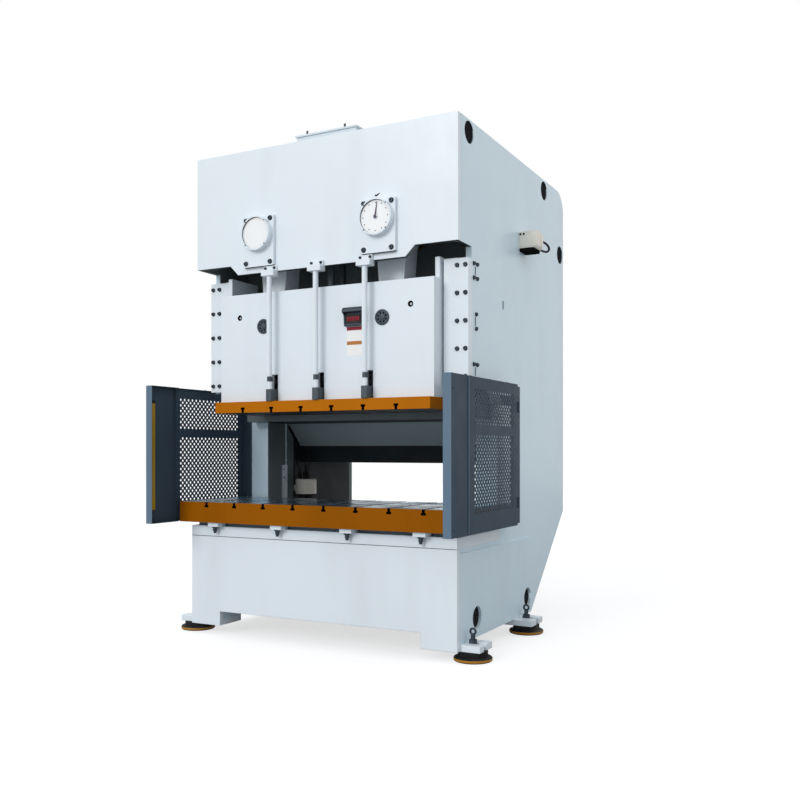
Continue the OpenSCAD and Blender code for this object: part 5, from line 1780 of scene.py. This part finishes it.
@dataclass
class JunctionBox:
    """Moulded terminal box on the right side plate, with its lid and ribs, and a dark block of
    painted shade under it.
    """

    entry: float = 0.034
    corner: float = 0.035
    steps: int = 10
    soft: float = 0.003
    rib_root: float = 0.05
    rib_foot: float = 0.012
    rib_top: float = 0.016
    lid: tuple[float, float, float] = (0.008, 0.020, 0.038)
    lid_depth: float = 0.004
    screws: tuple[float, float] = (0.014, 0.046)
    screw_drop: float = 0.022
    shade_band_low: tuple[float, float, float] = (0.0, 0.012, 0.004)
    shade_band_high: tuple[float, float, float] = (-0.03, -0.0005, 0.002)
    shade_band_soft: float = 0.006
    ribs: tuple[tuple[float, float, float], ...] = (
        (0.078, 0.014, 0.005), (0.054, 0.012, 0.002), (0.036, 0.026, 0.008))
    screw: Outline = ((0, -0.002), (0.009, -0.002), (0.009, 0.004), (0.007, 0.006), (0, 0.006))

    def build(self) -> None:
        """Makes the box and its fittings."""
        low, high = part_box("junction_box")
        foot = low.z + self.entry
        bottom = foot + self.rib_foot
        form = bmesh.new()
        self.shell(form, low, high, foot)
        for back, width, proud in self.ribs:
            add_block(form, Vector((high.x - self.rib_root, high.y - back - width, bottom)),
                      Vector((high.x + proud, high.y - back, high.z - self.rib_top)), 0, self.soft)
        left, right, top = self.lid
        add_block(form, Vector((low.x + left, low.y - self.soft, bottom)),
                  Vector((high.x - right, low.y + self.lid_depth, high.z - top)), 0, 0.0028)
        hand_over(add_form("junction_shell", form, (Paint.CREAM,)), "frame", "cream_paint",
                  "junction_box")
        form = bmesh.new()
        for x in self.screws:
            spot = Vector((low.x + x, low.y, high.z - self.screw_drop))
            lathe(form, self.screw, 18, Facing.FRONT.at(spot))
        hand_over(add_form("junction_screws", form, (Paint.SHADE,)), "frame", "dark_steel")
        # Dark block under the box: painted shade for the shadow beneath it
        form = bmesh.new()
        add_block(form, low + Vector(self.shade_band_low),
                  Vector((high.x, high.y, foot)) + Vector(self.shade_band_high), 0, self.shade_band_soft)
        hand_over(add_form("junction_entry", form, (Paint.SHADE,)), "frame", "plug_plastic")

    def shell(self, form: bmesh.types.BMesh, low: Vector, high: Vector, foot: float) -> None:
        """Adds the box with its round outer lower edge.

        Args:
            form: Form that takes the box.
            low: Lowest corner of the node.
            high: Highest corner of the node.
            foot: Height of the box's underside.
        """
        outline = [(low.x, high.z), (low.x, foot)]
        for i in range(self.steps + 1):
            angle = math.pi / 2 * (i / self.steps - 1)
            outline.append((high.x + self.corner * (math.cos(angle) - 1),
                            foot + self.corner * (math.sin(angle) + 1)))
        outline.append((high.x, high.z))
        soft = self.soft
        x_middle, z_middle = (low.x + high.x) / 2, (foot + high.z) / 2
        rings = []
        for y, inset in ((low.y, soft), (low.y + soft * 0.3, soft * 0.3), (low.y + soft, 0.0),
                         (high.y - soft, 0.0), (high.y, soft)):
            rings.append([form.verts.new((x - math.copysign(inset, x - x_middle), y,
                                          z - math.copysign(inset, z - z_middle)))
                          for x, z in outline])
        join_rings(form, rings, capped=True)


@dataclass
class PlainFinishes:
    """Finishes of the solids whose own shape is already right."""

    finishes: tuple[tuple[Paint, tuple[str, ...]], ...] = (
        (Paint.INNER, ("crown_mid_plate", "crown_rear_plate", "drive_support_plate")),
        (Paint.SIDE, ("bed_cross_plates",)),
        (Paint.SCREW, ("levelling_studs", "clamp_bolts")),
        (Paint.PLUG, ("lift_hole_plugs",)),
        (Paint.WAYS, ("guide_blocks",)),
        (Paint.WHITE, ("stop_rods", "connecting_rod_left", "connecting_rod_right")),
        (Paint.GUARD, ("guard_posts", "guard_mesh_left", "guard_mesh_right")),
        (Paint.STEEL, ("balance_cylinders", "crankshaft_left", "crankshaft_right",
                       "main_gear_left", "main_gear_right", "pinion_shaft")),
        (Paint.BAR, ("balance_rods",)),
        (Paint.BRONZE, ("bearing_bushes", "ball_seats")),
        (Paint.MOTOR, ("motor",)),
        (Paint.POINTER, ("dial_pointer",)),
    )

    def build(self) -> None:
        """Assigns the finishes."""
        for paint, nodes in self.finishes:
            for node in nodes:
                mesh = bpy.data.objects[node].data
                mesh.materials.clear()
                mesh.materials.append(paint.material())
        for node in ("gib_plates", "stop_brackets"):
            SoftenedPlate(node, "frame", "white_paint", (Paint.WHITE,), 0.002).build()


def main() -> None:
    """Builds the press's looks in order."""
    logging.basicConfig(level=logging.INFO, format="%(name)s: %(message)s")
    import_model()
    studio = Studio()
    studio.camera()
    studio.light()
    studio.floor()
    PlainFinishes().build()
    scatter = Scatter()
    for piece in (PressFrame(), Throat(scatter), Tooling(), SlideDress(), Guards(scatter),
                  Fasteners(scatter), Dials(scatter), Drive(scatter), BeltSet(), JunctionBox(),
                  HeldCable()):
        piece.build()


if __name__ == "__main__":
    main()
